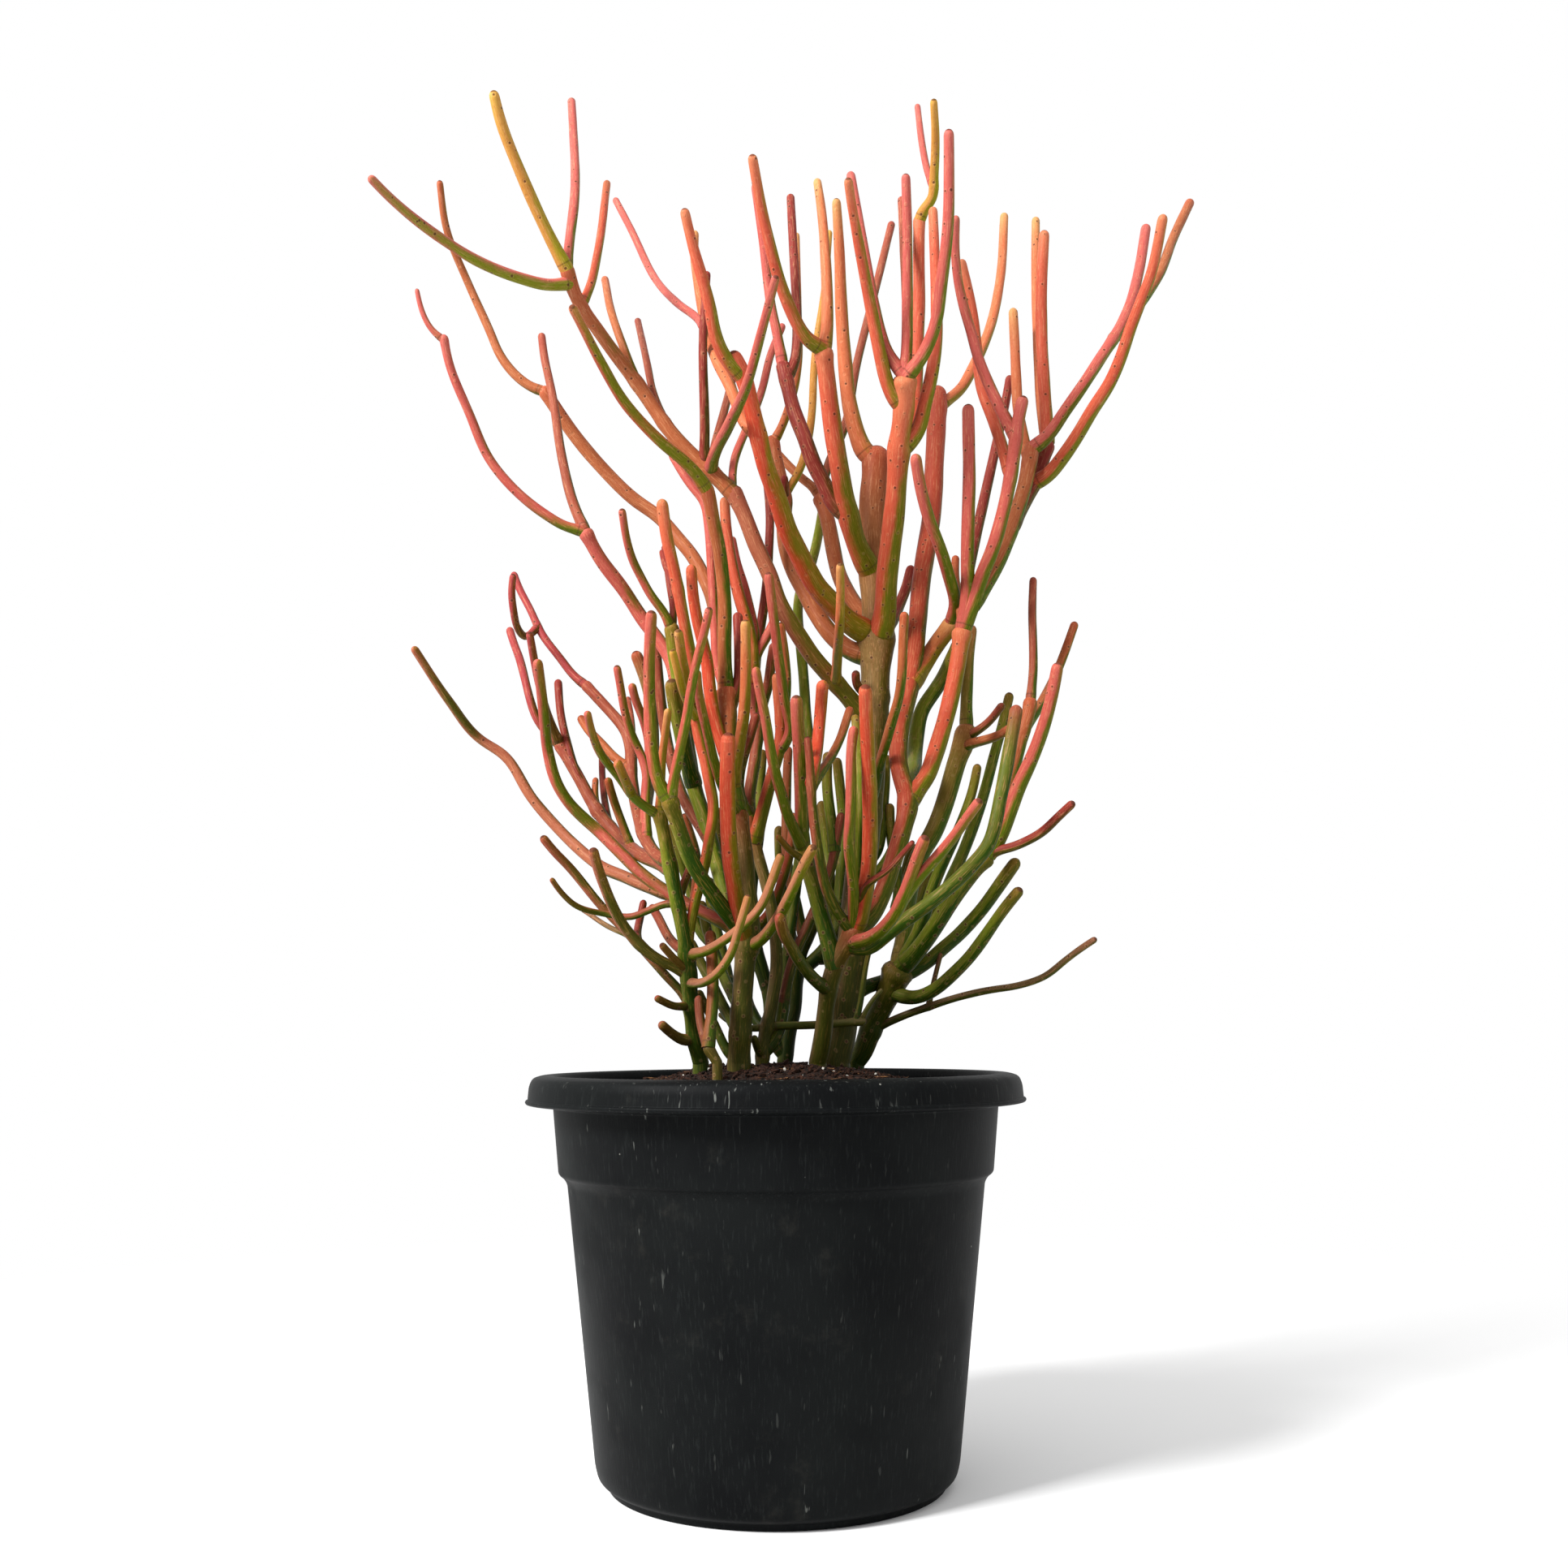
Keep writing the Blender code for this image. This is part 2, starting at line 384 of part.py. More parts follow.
MIDDLE = (
    ("stem", "", 8, 7, (-4, 0, -4),
     ((-9, 246), (-8.5, 273), (-3, 300), (1, 330), (0, 350), (-4, 375), (-9, 395), (-14, 413),
      (-18, 432))),
    ("k6", "stem", 8.5, 6.5, (-16, -22),
     ((-14, 412), (-9.5, 428), (-5.5, 443), (-1.5, 458), (3, 475), (5, 488), (4.5, 500), (3, 515),
      (2, 530))),
    ("p1", "k6", 6.5, 6, (-34, -52),
     ((3, 474), (9, 482), (11.5, 490), (9.5, 500), (7.5, 510), (5.5, 525), (3.5, 540), (1.5, 557),
      (-0.5, 575), (-3.5, 602))),
    ("p2", "k6", 6, 5.5, (-18, -26),
     ((4.5, 496), (8, 508), (9.2, 522), (8.5, 536), (7, 550), (4.5, 566))),
    ("k4", "stem", 8, 6, (10, 12, -8),
     ((-17.5, 427), (-17, 445), (-14.5, 460), (-12, 478), (-10, 492), (-8, 507), (-4, 520),
      (-2, 535), (0.5, 551))),
    ("k7", "stem", 6.5, 6, (-8, -12),
     ((-18, 430), (-24, 446), (-23.5, 460), (-19.5, 476), (-15, 490), (-12, 502))),
    ("k2", "k4", 6.5, 6, (14, 16),
     ((-11, 486), (-14, 510), (-14, 530), (-11, 545), (-6, 553), (-1, 563), (3, 572))),
    ("rl", "k2", 6, 5, (20, 26),
     ((-14, 518), (-12, 545), (-12.5, 558), (-16, 575), (-20, 592), (-25, 608), (-29, 628))),
    ("c", "k2", 8.5, 6.5, (12, 16),
     ((-14, 522), (-15, 550), (-19, 568), (-24, 585), (-28, 603), (-31, 620), (-33.3, 640),
      (-34, 657))),
    ("dr", "k2", 6.5, 5.5, (30, 34, 38),
     ((-14, 514), (-11, 548), (-8.5, 565), (-6, 582), (-4, 600), (-2.8, 620), (-2, 640), (-3, 660),
      (-6, 684))),
    ("g1", "stem", 7.5, 6, (16, 26, 44, 78),
     ((-8.3, 270), (-2, 276), (2.5, 285), (5, 300), (9, 340), (14, 380), (20, 420), (23.5, 450),
      (24, 480), (22, 505), (20.5, 530), (18, 558), (17, 575), (19, 589), (26, 605), (30, 620),
      (33, 635), (36, 652))),
    ("g3", "stem", 5.5, 4.5, (-16,),
     ((-8.4, 268), (-12, 273), (-14.5, 281))),
    ("cut twig", "stem", 5, 5, (2,),
     ((-6, 288), (6, 288), (30, 288.5), (50, 290), (61, 291))),
    ("snag a", "cut twig", 3.5, 2.5, (0,),
     ((57, 290.5), (62, 300), (66, 306), (72, 312))),
    ("snag b", "cut twig", 4, 3, (0,),
     ((54, 290), (57, 302), (59.5, 318), (62, 332), (66, 345))),
    ("g1a", "g1", 7, 5.5, (12, 8),
     ((5, 300), (10, 325), (16, 342), (21, 352), (27, 366), (33, 378), (38, 392), (41, 405),
      (46, 432))),
    ("g1b", "g1a", 7, 6.5, (10, 12),
     ((41, 405), (39, 425), (37, 440), (36, 455), (37, 474))),
    ("cut twig 2", "stem", 4.5, 3.5, (0,),
     ((-6, 288), (-14, 286), (-28, 289), (-38, 296.5))),
)

FRONT = (
    ("stem", "", 11, 10, (-8, -22, -34),
     ((28, 246), (29, 262), (31.5, 280), (34, 300), (36.5, 315), (44, 335), (51, 345), (57, 356))),
    ("fa", "stem", 10, 9, (-62, -95),
     ((56, 352), (58, 362), (61, 375), (64, 395), (65.3, 420), (65.3, 450), (64.5, 480),
      (63.3, 521))),
    ("fb", "stem", 7, 6.5, (-66, -80),
     ((53, 350), (53, 365), (53.5, 380), (52, 395), (50.5, 412), (52, 430), (52.6, 450),
      (53.5, 480), (55.5, 492))),
    ("fc", "stem", 8.5, 7.5, (-74, -100),
     ((52, 342), (60, 345), (70, 350), (78, 358), (84, 367), (88, 376), (92, 386), (97, 400),
      (103, 415))),
    ("fd", "fc", 7.5, 6.5, (-96, -120),
     ((86, 371), (91, 378), (98, 387), (106, 396), (116, 407), (124, 417), (132, 428), (141, 440))),
    ("fe", "stem", 4.5, 3.5, (-52, -60),
     ((58, 358), (63, 383), (69, 387), (77, 392), (86, 402), (95, 412))),
    ("side", "stem", 8, 7, (-45, -70),
     ((33, 312), (27, 318), (20, 326), (10, 342), (5, 352), (3, 362))),
    ("g2", "stem", 11, 9, (-30, -34),
     ((41, 326), (36, 345), (30.5, 365), (25.5, 385), (21, 400), (18.5, 412))),
    ("h1", "g2", 8.5, 8, (-45, -60),
     ((19, 406), (18.5, 425), (18.3, 450), (17.5, 475), (16, 500), (15.5, 514))),
    ("k1", "g2", 7.5, 6, (-64, -85),
     ((19, 405), (14.5, 418), (9, 430), (6, 441), (2, 455), (-1, 468), (-3.5, 482), (-5.5, 496),
      (-8, 509), (-10.5, 521), (-12.5, 534))),
    ("h2", "stem", 7.5, 5, (-58, -66),
     ((54, 350), (46, 358), (39, 370), (34, 383), (31.5, 395), (29, 410), (27, 425), (25.5, 445),
      (24.6, 465), (23, 485))),
    ("h3", "h2", 7, 8, (-30, -45),
     ((27, 452), (28, 465), (30, 480), (32, 500), (34, 524))),
    ("h5", "h2", 6, 5.5, (-22, -8),
     ((26.5, 448), (33, 461), (40, 472), (46, 484), (50, 496), (53, 505))),
    ("rp", "stem", 11, 12.5, (-14, 20, 48, 66),
     ((56, 351), (66, 362), (73, 376), (80, 396), (87, 418), (91.5, 440), (87.5, 455), (85.2, 468),
      (86, 482), (89.5, 500), (94, 520), (97.5, 540), (100.5, 565), (103, 590), (107, 615),
      (111.5, 640), (114.5, 680), (117, 715), (118, 738))),
    ("rk", "rp", 7.5, 5.5, (95, 120),
     ((119, 722), (125, 728), (132.7, 734), (144.4, 754), (156.5, 782), (165, 820), (169.3, 870))),
    ("rt", "rp", 12, 11, (30, 14),
     ((95, 520), (103, 533), (111, 546), (119, 557), (128, 568))),
    ("rt1", "rt", 8, 7.5, (-22, -44),
     ((124, 562), (127, 578), (122.5, 600), (117, 620), (110, 640), (105, 660), (101, 688))),
    ("rs", "rp", 11, 10.5, (4, 4),
     ((90, 436), (97, 446), (104.5, 456), (110, 470), (114, 482), (119.5, 500), (124.5, 520),
      (128.5, 540), (132, 562))),
    ("ru", "rp", 11, 8, (42, 44, 20),
     ((91, 437), (95, 458), (97, 475), (99, 490), (102, 503), (109, 513), (117, 525), (124, 540),
      (130, 552))),
    ("rs1", "rs", 5.5, 5, (18,),
     ((131, 560), (129.5, 580), (127.5, 600), (128, 613))),
    ("rs2", "rs", 9, 8, (-10, -20),
     ((131.5, 558), (134, 572), (136, 590), (136.3, 610), (137.5, 640), (139, 670), (139.3, 700),
      (139.5, 725))),
    ("ro1", "rs", 9.5, 8, (-8, -16, -30),
     ((132, 558), (138, 575), (146, 598), (155, 620), (161, 640), (166, 660), (170, 680),
      (173, 700), (176, 718), (179.5, 731))),
    ("ro2", "ro1", 10, 9.5, (16, 22),
     ((139, 577), (152, 598), (163, 620), (170, 640), (177, 660), (181.5, 680), (184.5, 696))),
    ("ro3", "ro2", 9.5, 9, (30, 28),
     ((167, 632), (178, 653), (186, 668), (191, 682), (196, 698))),
    ("s1", "ro2", 8.5, 6.5, (5, 20, 50),
     ((183, 691), (193, 698), (209, 720), (223, 740), (236, 760), (249, 780), (257, 797),
      (264, 820), (272, 860))),
    ("s2", "ro3", 9.5, 6.5, (-6, -30, -50),
     ((184, 666), (196, 673), (205, 684), (216, 700), (228, 720), (241, 740), (250, 760),
      (257, 780), (265, 800), (273, 820), (285, 869))),
    ("s3", "s1", 7.5, 6, (40, 80),
     ((245, 773), (253, 783), (262, 796), (271, 808), (279, 821), (291, 850), (305, 879))),
    ("s4", "ro3", 8.5, 7, (34, 28),
     ((196, 695), (195, 715), (194, 740), (193.5, 780), (195, 820), (198, 857))),
    ("s5", "ro3", 6.5, 5.5, (50, 62),
     ((193, 692), (191.5, 720), (190.5, 760), (190.5, 820), (192, 867))),
    ("s6", "ro2", 7.5, 6, (34, 40),
     ((181, 682), (178, 700), (175, 720), (174.3, 745), (174, 770), (173.5, 797))),
    ("j1", "ro1", 8, 5.5, (-24, -50),
     ((173, 699), (169, 708), (163, 720), (154.5, 740), (147.5, 760), (142.8, 780), (137.8, 800),
      (134.3, 820), (133, 840), (134.1, 869))),
    ("j2", "ro1", 8, 6, (0, -10),
     ((168, 672), (165, 684), (161.5, 698), (155.3, 718), (148.9, 738), (147, 765), (145, 790),
      (141, 815), (137, 835))),
    ("rx", "stem", 9, 8.5, (-50, -46, -40),
     ((49, 342), (62, 339), (75, 348), (88, 358), (100, 366), (112, 375), (125, 386), (136, 397),
      (146, 409), (151, 424), (155, 442), (159, 460), (163, 480), (166, 495), (168, 506))),
    ("ru1", "ru", 8, 5.5, (40, 50),
     ((129, 550), (131.5, 570), (134.5, 590), (139, 612), (145, 637), (151, 662), (157, 687),
      (162, 708), (167, 730), (170, 746))),
    ("fg", "stem", 7, 5.5, (-50, -40),
     ((57, 362), (58, 385), (58, 405), (58.5, 430), (58.5, 455), (57.5, 480), (56, 500))),
    ("g stub", "g2", 4.5, 4, (-50,),
     ((19, 398), (12, 404.5), (6, 411), (2, 416))),
)

RIGHT = (
    ("stem", "", 12, 15, (34, 30, 20),
     ((53, 246), (57, 268), (62, 281), (70, 297), (78, 313), (85, 330))),
    ("ra", "stem", 8.5, 7, (-10, -40),
     ((80, 309), (90, 306), (98, 307), (108, 312), (120, 322), (132, 334), (142, 347), (152, 361),
      (160, 371), (167, 379))),
    ("rb", "stem", 8.5, 8, (26, 0),
     ((83, 319), (93, 324), (103, 330), (112, 338), (122, 346), (132, 356), (141, 366), (150, 378),
      (158, 389), (165.5, 399))),
    ("rv", "stem", 11, 10, (0, -8),
     ((84, 324), (93, 334), (102, 345), (111, 358), (121, 373), (131, 386), (140, 397),
      (147, 404))),
    ("rv1", "rv", 6, 5.5, (-20, -40),
     ((143, 401), (152, 405), (161, 407), (171, 411), (182, 417), (194, 428), (205, 438))),
    ("rv2", "rv", 9.5, 8, (6, 8),
     ((144, 400), (150, 412), (155, 430), (161, 450), (166, 468), (171, 485), (176.5, 503),
      (178, 512))),
    ("rv3", "rv2", 6, 4.8, (10, 20),
     ((178, 508), (180, 530), (180.5, 550), (180.5, 570), (182, 597))),
    ("rv4", "rv2", 6.5, 5.5, (30, 30),
     ((173, 488), (179, 498), (187, 511), (194, 524), (201, 540), (206, 553), (210.5, 565))),
    ("rz", "rv", 10, 7.5, (-20, -34),
     ((145, 402), (154, 415), (161, 432), (168, 450), (174, 462), (182, 480), (188, 497),
      (193, 515), (197.5, 536))),
    ("rq", "stem", 11, 12, (40, 44, 40),
     ((86, 326), (88, 350), (90, 372), (94, 390), (99, 403), (107, 415), (113, 428), (118, 442),
      (122, 455), (126, 468), (131, 481), (134, 494))),
    ("rq1", "rq", 8, 6.5, (44, 46),
     ((134, 488), (133, 505), (134.3, 525), (136, 545), (138.5, 563))),
    ("rq2", "rq", 5.5, 5, (30, 20),
     ((132, 483), (140, 488), (148, 494), (158.5, 507))),
    ("rq3", "rq", 6.5, 5.5, (26, 14),
     ((129, 477), (139, 480), (150, 483), (159, 487), (164, 491))),
    ("rw", "stem", 9, 5.5, (12, 4, 0),
     ((85, 325), (95, 346), (102, 364), (108, 382), (114, 396), (122, 412), (130, 430), (136, 447),
      (140, 465))),
    ("rf", "stem", 5, 4, (10, -30),
     ((67, 283), (76, 290), (88, 295), (100, 299), (115, 304), (130, 308), (145, 311), (160, 313),
      (172, 316), (182, 320), (195, 330), (206, 338), (217, 345))),
    ("rf1", "rf", 3.5, 3, (22,),
     ((103, 299), (104.5, 308), (108, 322), (112, 336))),
)

BACK = (
    ("stem", "", 9, 8.5, (40, 42, 44),
     ((6, 246), (7, 270), (9, 284), (13, 300), (14, 322), (18, 340), (25, 354), (31, 368))),
    ("b1", "stem", 8, 6, (44, 48, 50),
     ((7, 268), (0, 276), (-3.5, 290), (-4, 306), (-8, 324), (-13, 342), (-16, 365), (-15, 385),
      (-12, 405), (-9.5, 425), (-10.5, 442), (-9, 460), (-8, 476))),
    ("b2", "stem", 8, 6, (44, 50, 56),
     ((14, 322), (28, 333), (42, 352), (52, 372), (60, 395), (66, 418), (70, 440), (73, 465))),
    ("b3", "stem", 7, 5.5, (52, 56),
     ((20, 345), (17, 357), (15, 368), (11, 384), (8, 404), (8, 425), (8.5, 445), (9, 462),
      (10, 478))),
    ("b5", "b1", 7, 5.5, (48, 54),
     ((-13, 345), (-22, 356), (-30, 372), (-37, 392), (-39, 412), (-39, 436))),
    ("b6", "b2", 7, 5.5, (52, 60),
     ((52, 372), (64, 384), (76, 398), (84, 415), (90, 436), (94, 455))),
    ("b7", "b1", 6.5, 5.5, (36, 34),
     ((-14, 352), (-3, 364), (4, 382), (9, 398), (12, 415), (13, 432))),
    ("b8", "b1", 7, 6, (44, 46),
     ((-5, 310), (-9, 322), (-15, 336), (-20, 352), (-24, 370))),
    ("b9", "b2", 8, 6, (52, 56, 56),
     ((28, 333), (45, 334), (60, 337), (72, 345), (80, 358), (84, 375), (82, 398), (79, 420),
      (79, 438))),
    ("b11", "stem", 8, 6, (60, 62),
     ((15, 326), (12, 342), (8, 360), (5, 382), (3.5, 402), (3, 423))),
    ("b12", "b2", 8, 6, (60, 60),
     ((42, 352), (44, 375), (46, 400), (47, 425), (45, 450), (43, 470))),
    ("b14", "b1", 7, 6, (50, 54),
     ((-2, 282), (-8, 286), (-14, 293), (-18.5, 304), (-20, 320), (-21, 338))),
    ("b15", "b14", 7, 5.5, (60, 66, 66),
     ((-16, 296), (-23, 300), (-30, 310), (-32, 324), (-36, 338), (-39, 352), (-44, 370),
      (-44, 388))),
    ("b16", "b15", 7, 5.5, (70, 70),
     ((-36, 340), (-44, 344), (-51, 352), (-55, 366), (-58, 382), (-63, 396), (-67, 412),
      (-71, 425))),
    ("b17", "b16", 6.5, 5.5, (60, 56),
     ((-55, 367), (-53, 386), (-53, 402), (-57, 416), (-62, 432))),
    ("b18", "b2", 7, 6, (60, 64),
     ((40, 349), (37, 364), (38, 384), (36, 402), (34, 420), (32, 440))),
    ("b19", "b2", 6.5, 5, (58, 60),
     ((60, 395), (69, 402), (73, 416), (75, 436), (77, 456), (77, 472))),
    ("b21", "b9", 7, 6, (60, 64),
     ((82, 366), (87, 382), (90, 396), (95, 410))),
    ("b22", "b9", 7, 6, (60, 60),
     ((76, 351), (87, 357), (96, 367), (101, 380), (106, 393))),
)

CANES = {
    "trunk_cane": TRUNK,
    "left_cane": LEFT,
    "tan_cane": TAN,
    "small_cane": SMALL,
    "middle_cane": MIDDLE,
    "front_cane": FRONT,
    "right_cane": RIGHT,
    "back_cane": BACK,
}


def clear_file():
    """Remove every object the file opens with."""
    for thing in list(bpy.data.objects):
        bpy.data.objects.remove(thing, do_unlink=True)


def add_object(name, bm):
    """Make one object from a bmesh, with outward faces."""
    bmesh.ops.recalc_face_normals(bm, faces=bm.faces)
    mesh = bpy.data.meshes.new(name)
    bm.to_mesh(mesh)
    bm.free()
    thing = bpy.data.objects.new(name, mesh)
    bpy.context.scene.collection.objects.link(thing)
    return thing


def paint(thing, roughness):
    """Give a node its own Principled material."""
    material = bpy.data.materials.new(thing.name)
    material.use_nodes = True
    shader = material.node_tree.nodes["Principled BSDF"]
    shader.inputs["Base Color"].default_value = (*COLOURS[thing.name], 1.0)
    shader.inputs["Roughness"].default_value = roughness
    thing.data.materials.clear()
    thing.data.materials.append(material)


def turned(name, profile, sides):
    """Spin an open (radius, height) profile round the upright axis into a closed body."""
    bm = bmesh.new()
    points = [bm.verts.new((radius * MM, 0.0, height * MM)) for radius, height in profile]
    edges = [bm.edges.new(pair) for pair in zip(points, points[1:])]
    bmesh.ops.spin(
        bm,
        geom=points + edges,
        cent=(0.0, 0.0, 0.0),
        axis=(0.0, 0.0, 1.0),
        angle=math.tau,
        steps=sides,
        use_merge=True,
    )
    bmesh.ops.remove_doubles(bm, verts=bm.verts, dist=FEWEST_MM * MM)
    return add_object(name, bm)


def add_pot():
    """Build the tapered pot with its stepped band, rolled rim and flat foot."""
    outside = ((0.0, 0.0),) + POT_OUTSIDE
    inside = POT_INSIDE + ((0.0, POT_FLOOR_TOP),)
    pot = turned("pot", outside + inside, POT_SIDES)
    paint(pot, POT_ROUGHNESS)


def place(across, up, depth):
    """Carry a front reading back or forward along the line of sight to its depth."""
    share = (VIEW_DISTANCE + depth) / VIEW_DISTANCE
    x = VIEW_ACROSS + (across - VIEW_ACROSS) * share
    z = VIEW_UP + (up - VIEW_UP) * share
    return Vector((x, depth, z))


def thinned(line):
    """Drop readings that lie within THIN_BY of the line through the kept ones."""
    if len(line) < 3:
        return list(line)
    first = Vector(line[0])
    along = (Vector(line[-1]) - first).normalized()
    offsets = [abs((Vector(point) - first).cross(along)) for point in line]
    worst = offsets.index(max(offsets))
    if offsets[worst] <= THIN_BY:
        return [line[0], line[-1]]
    return thinned(line[: worst + 1])[:-1] + thinned(line[worst:])


def shares_along(line):
    """Return each reading's share of the line's length."""
    steps = [math.dist(a, b) for a, b in zip(line, line[1:])]
    total = sum(steps)
    shares = [0.0]
    for step in steps:
        shares.append(shares[-1] + step / total)
    return shares


def between(values, share):
    """Read a row of evenly spaced values at a share of its length."""
    position = share * (len(values) - 1)
    index = min(int(position), len(values) - 2)
    part = position - index
    return values[index] * (1.0 - part) + values[index + 1] * part


def nearest_depth(reading, parent):
    """Find the point of the parent's line nearest a reading: (across, up, depth)."""
    best = None
    for start, end in zip(parent, parent[1:]):
        a = Vector(start[:2])
        run = Vector(end[:2]) - a
        share = max(0.0, min(1.0, (Vector(reading) - a).dot(run) / run.length_squared))
        spot = a + run * share
        away = (Vector(reading) - spot).length
        if best is None or away < best[0]:
            best = (away, (spot.x, spot.y, start[2] * (1.0 - share) + end[2] * share))
    return best[1]


def trace(rows):
    """Give each shoot of a cane its full line: (across, up, depth, radius) for each reading."""
    traced = {}
    for name, parent, foot_width, tip_width, depths, line in rows:
        line = list(line)
        if parent:
            across, up, depth = nearest_depth(line[0], traced[parent])
            line[0] = (across, up)
            depths = (depth,) + tuple(DEPTH_STRETCH * value for value in depths)
        else:
            depths = tuple(DEPTH_STRETCH * value for value in depths)
            line[0] = (line[0][0], COLLAR_LEVEL)
            line = [line[0]] + [point for point in line[1:] if point[1] > COLLAR_LEVEL]
        line = thinned(line)
        traced[name] = []
        for (across, up), share in zip(line, shares_along(line)):
            radius = (foot_width + (tip_width - foot_width) * share) / 2.0
            depth = between(depths, share)
            traced[name].append((across, up, depth, radius))
    return traced


def stations(readings, rooted):
    """Turn a shoot's readings into tube stations: (centre, radius), with a rounded tip."""
    found = []
    for across, up, depth, radius in readings:
        share = (VIEW_DISTANCE + depth) / VIEW_DISTANCE
        found.append((place(across, up, depth), radius * share * WIDTH_MAKE_UP))
    tip, radius = found[-1]
    along = (tip - found[-2][0]).normalized()
    found[-1] = (tip - along * radius * TIP_BACK, radius)
    found.append((tip, radius * TIP_NARROW))
    if rooted:
        collar, radius = found[0]
        collar.z = COLLAR_LEVEL
        found.insert(0, (Vector((collar.x, collar.y, FOOT_LEVEL)), radius))
    return found


def ring_frame(centre, along, radius):
    """Build the matrix that carries a unit ring to a station."""
    turn = Vector((0.0, 0.0, 1.0)).rotation_difference(along).to_matrix().to_4x4()
    return Matrix.Translation(centre * MM) @ turn @ Matrix.Scale(radius * MM, 4)


def tube_object(name, found):
    """Extrude a ring from station to station into one closed tube."""
    centres = [centre for centre, _ in found]
    runs = [(b - a).normalized() for a, b in zip(centres, centres[1:])]
    bends = [runs[0]] + [(a + b).normalized() for a, b in zip(runs, runs[1:])] + [runs[-1]]
    if found[0][0].x == found[1][0].x and found[0][0].y == found[1][0].y:
        bends[1] = runs[0]
    bm = bmesh.new()
    made = bmesh.ops.create_circle(bm, cap_ends=True, radius=1.0, segments=SHOOT_SIDES)
    ring = made["verts"]
    face = ring[0].link_faces[0]
    frame = ring_frame(centres[0], bends[0], found[0][1])
    bmesh.ops.transform(bm, matrix=frame, verts=ring)
    for (centre, radius), bend in zip(found[1:], bends[1:]):
        grown = bmesh.ops.extrude_face_region(bm, geom=[face])["geom"]
        if len(bm.verts) > 2 * SHOOT_SIDES:
            bmesh.ops.delete(bm, geom=[face], context="FACES_ONLY")
        ring = [item for item in grown if isinstance(item, bmesh.types.BMVert)]
        face = [item for item in grown if isinstance(item, bmesh.types.BMFace)][0]
        following = ring_frame(centre, bend, radius)
        bmesh.ops.transform(bm, matrix=following @ frame.inverted(), verts=ring)
        frame = following
    bmesh.ops.triangulate(bm, faces=bm.faces)
    return add_object(name, bm)


def apply_boolean(target, others, operation, solver):
    """Run one Boolean of a collection on the target, apply it and remove the collection."""
    group = bpy.data.collections.new("others")
    bpy.context.scene.collection.children.link(group)
    for thing in others:
        bpy.context.scene.collection.objects.unlink(thing)
        group.objects.link(thing)
        thing.hide_render = True
        thing.display_type = "WIRE"
    cut = target.modifiers.new(operation, "BOOLEAN")
    cut.operation = operation
    cut.operand_type = "COLLECTION"
    cut.collection = group
    cut.solver = solver
    graph = bpy.context.evaluated_depsgraph_get()
    mesh = bpy.data.meshes.new_from_object(target.evaluated_get(graph))
    target.modifiers.clear()
    target.data = mesh
    for thing in others:
        bpy.data.objects.remove(thing, do_unlink=True)
    bpy.data.collections.remove(group)


def add_cane(name, rows):
    """Build one cane with all its side shoots fused, and return its foot (centre, radius)."""
    traced = trace(rows)
    tubes = []
    for shoot, readings in traced.items():
        rooted = shoot == rows[0][0]
        tubes.append(tube_object(name, stations(readings, rooted)))
    cane = tubes[0]
    cane.name = name
    apply_boolean(cane, tubes[1:], "UNION", "MANIFOLD")
    paint(cane, CANE_ROUGHNESS)
    return stations(traced[rows[0][0]], True)[0]


def add_soil(feet):
    """Build the heaped soil with a plain hole for each cane's foot."""
    profile = ((0.0, SOIL_BOTTOM),) + SOIL_PROFILE + ((0.0, SOIL_TOP),)
    soil = turned("soil", profile, SOIL_SIDES)
    widen = SEAT_GAP / math.cos(math.pi / SHOOT_SIDES)
    cutters = []
    for centre, radius in feet:
        low = Vector((centre.x, centre.y, FOOT_LEVEL - SEAT_GAP))
        high = Vector((centre.x, centre.y, COLLAR_LEVEL + HOLE_OVERSHOOT))
        cutters.append(tube_object("hole", [(low, radius + widen), (high, radius + widen)]))
    apply_boolean(soil, cutters, "DIFFERENCE", "EXACT")
    paint(soil, SOIL_ROUGHNESS)


def main():
    """Build the pot, the canes and the soil they stand in."""
    clear_file()
    add_pot()
    feet = [add_cane(name, rows) for name, rows in CANES.items()]
    add_soil(feet)


main()
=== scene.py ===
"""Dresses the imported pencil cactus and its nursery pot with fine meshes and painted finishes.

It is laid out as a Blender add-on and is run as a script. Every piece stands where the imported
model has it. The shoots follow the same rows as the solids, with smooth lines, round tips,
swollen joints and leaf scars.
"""

import json
import math
import random

import bmesh
import bpy
from bpy.props import FloatProperty, FloatVectorProperty, IntProperty, PointerProperty
from mathutils import Euler, Matrix, Vector, noise

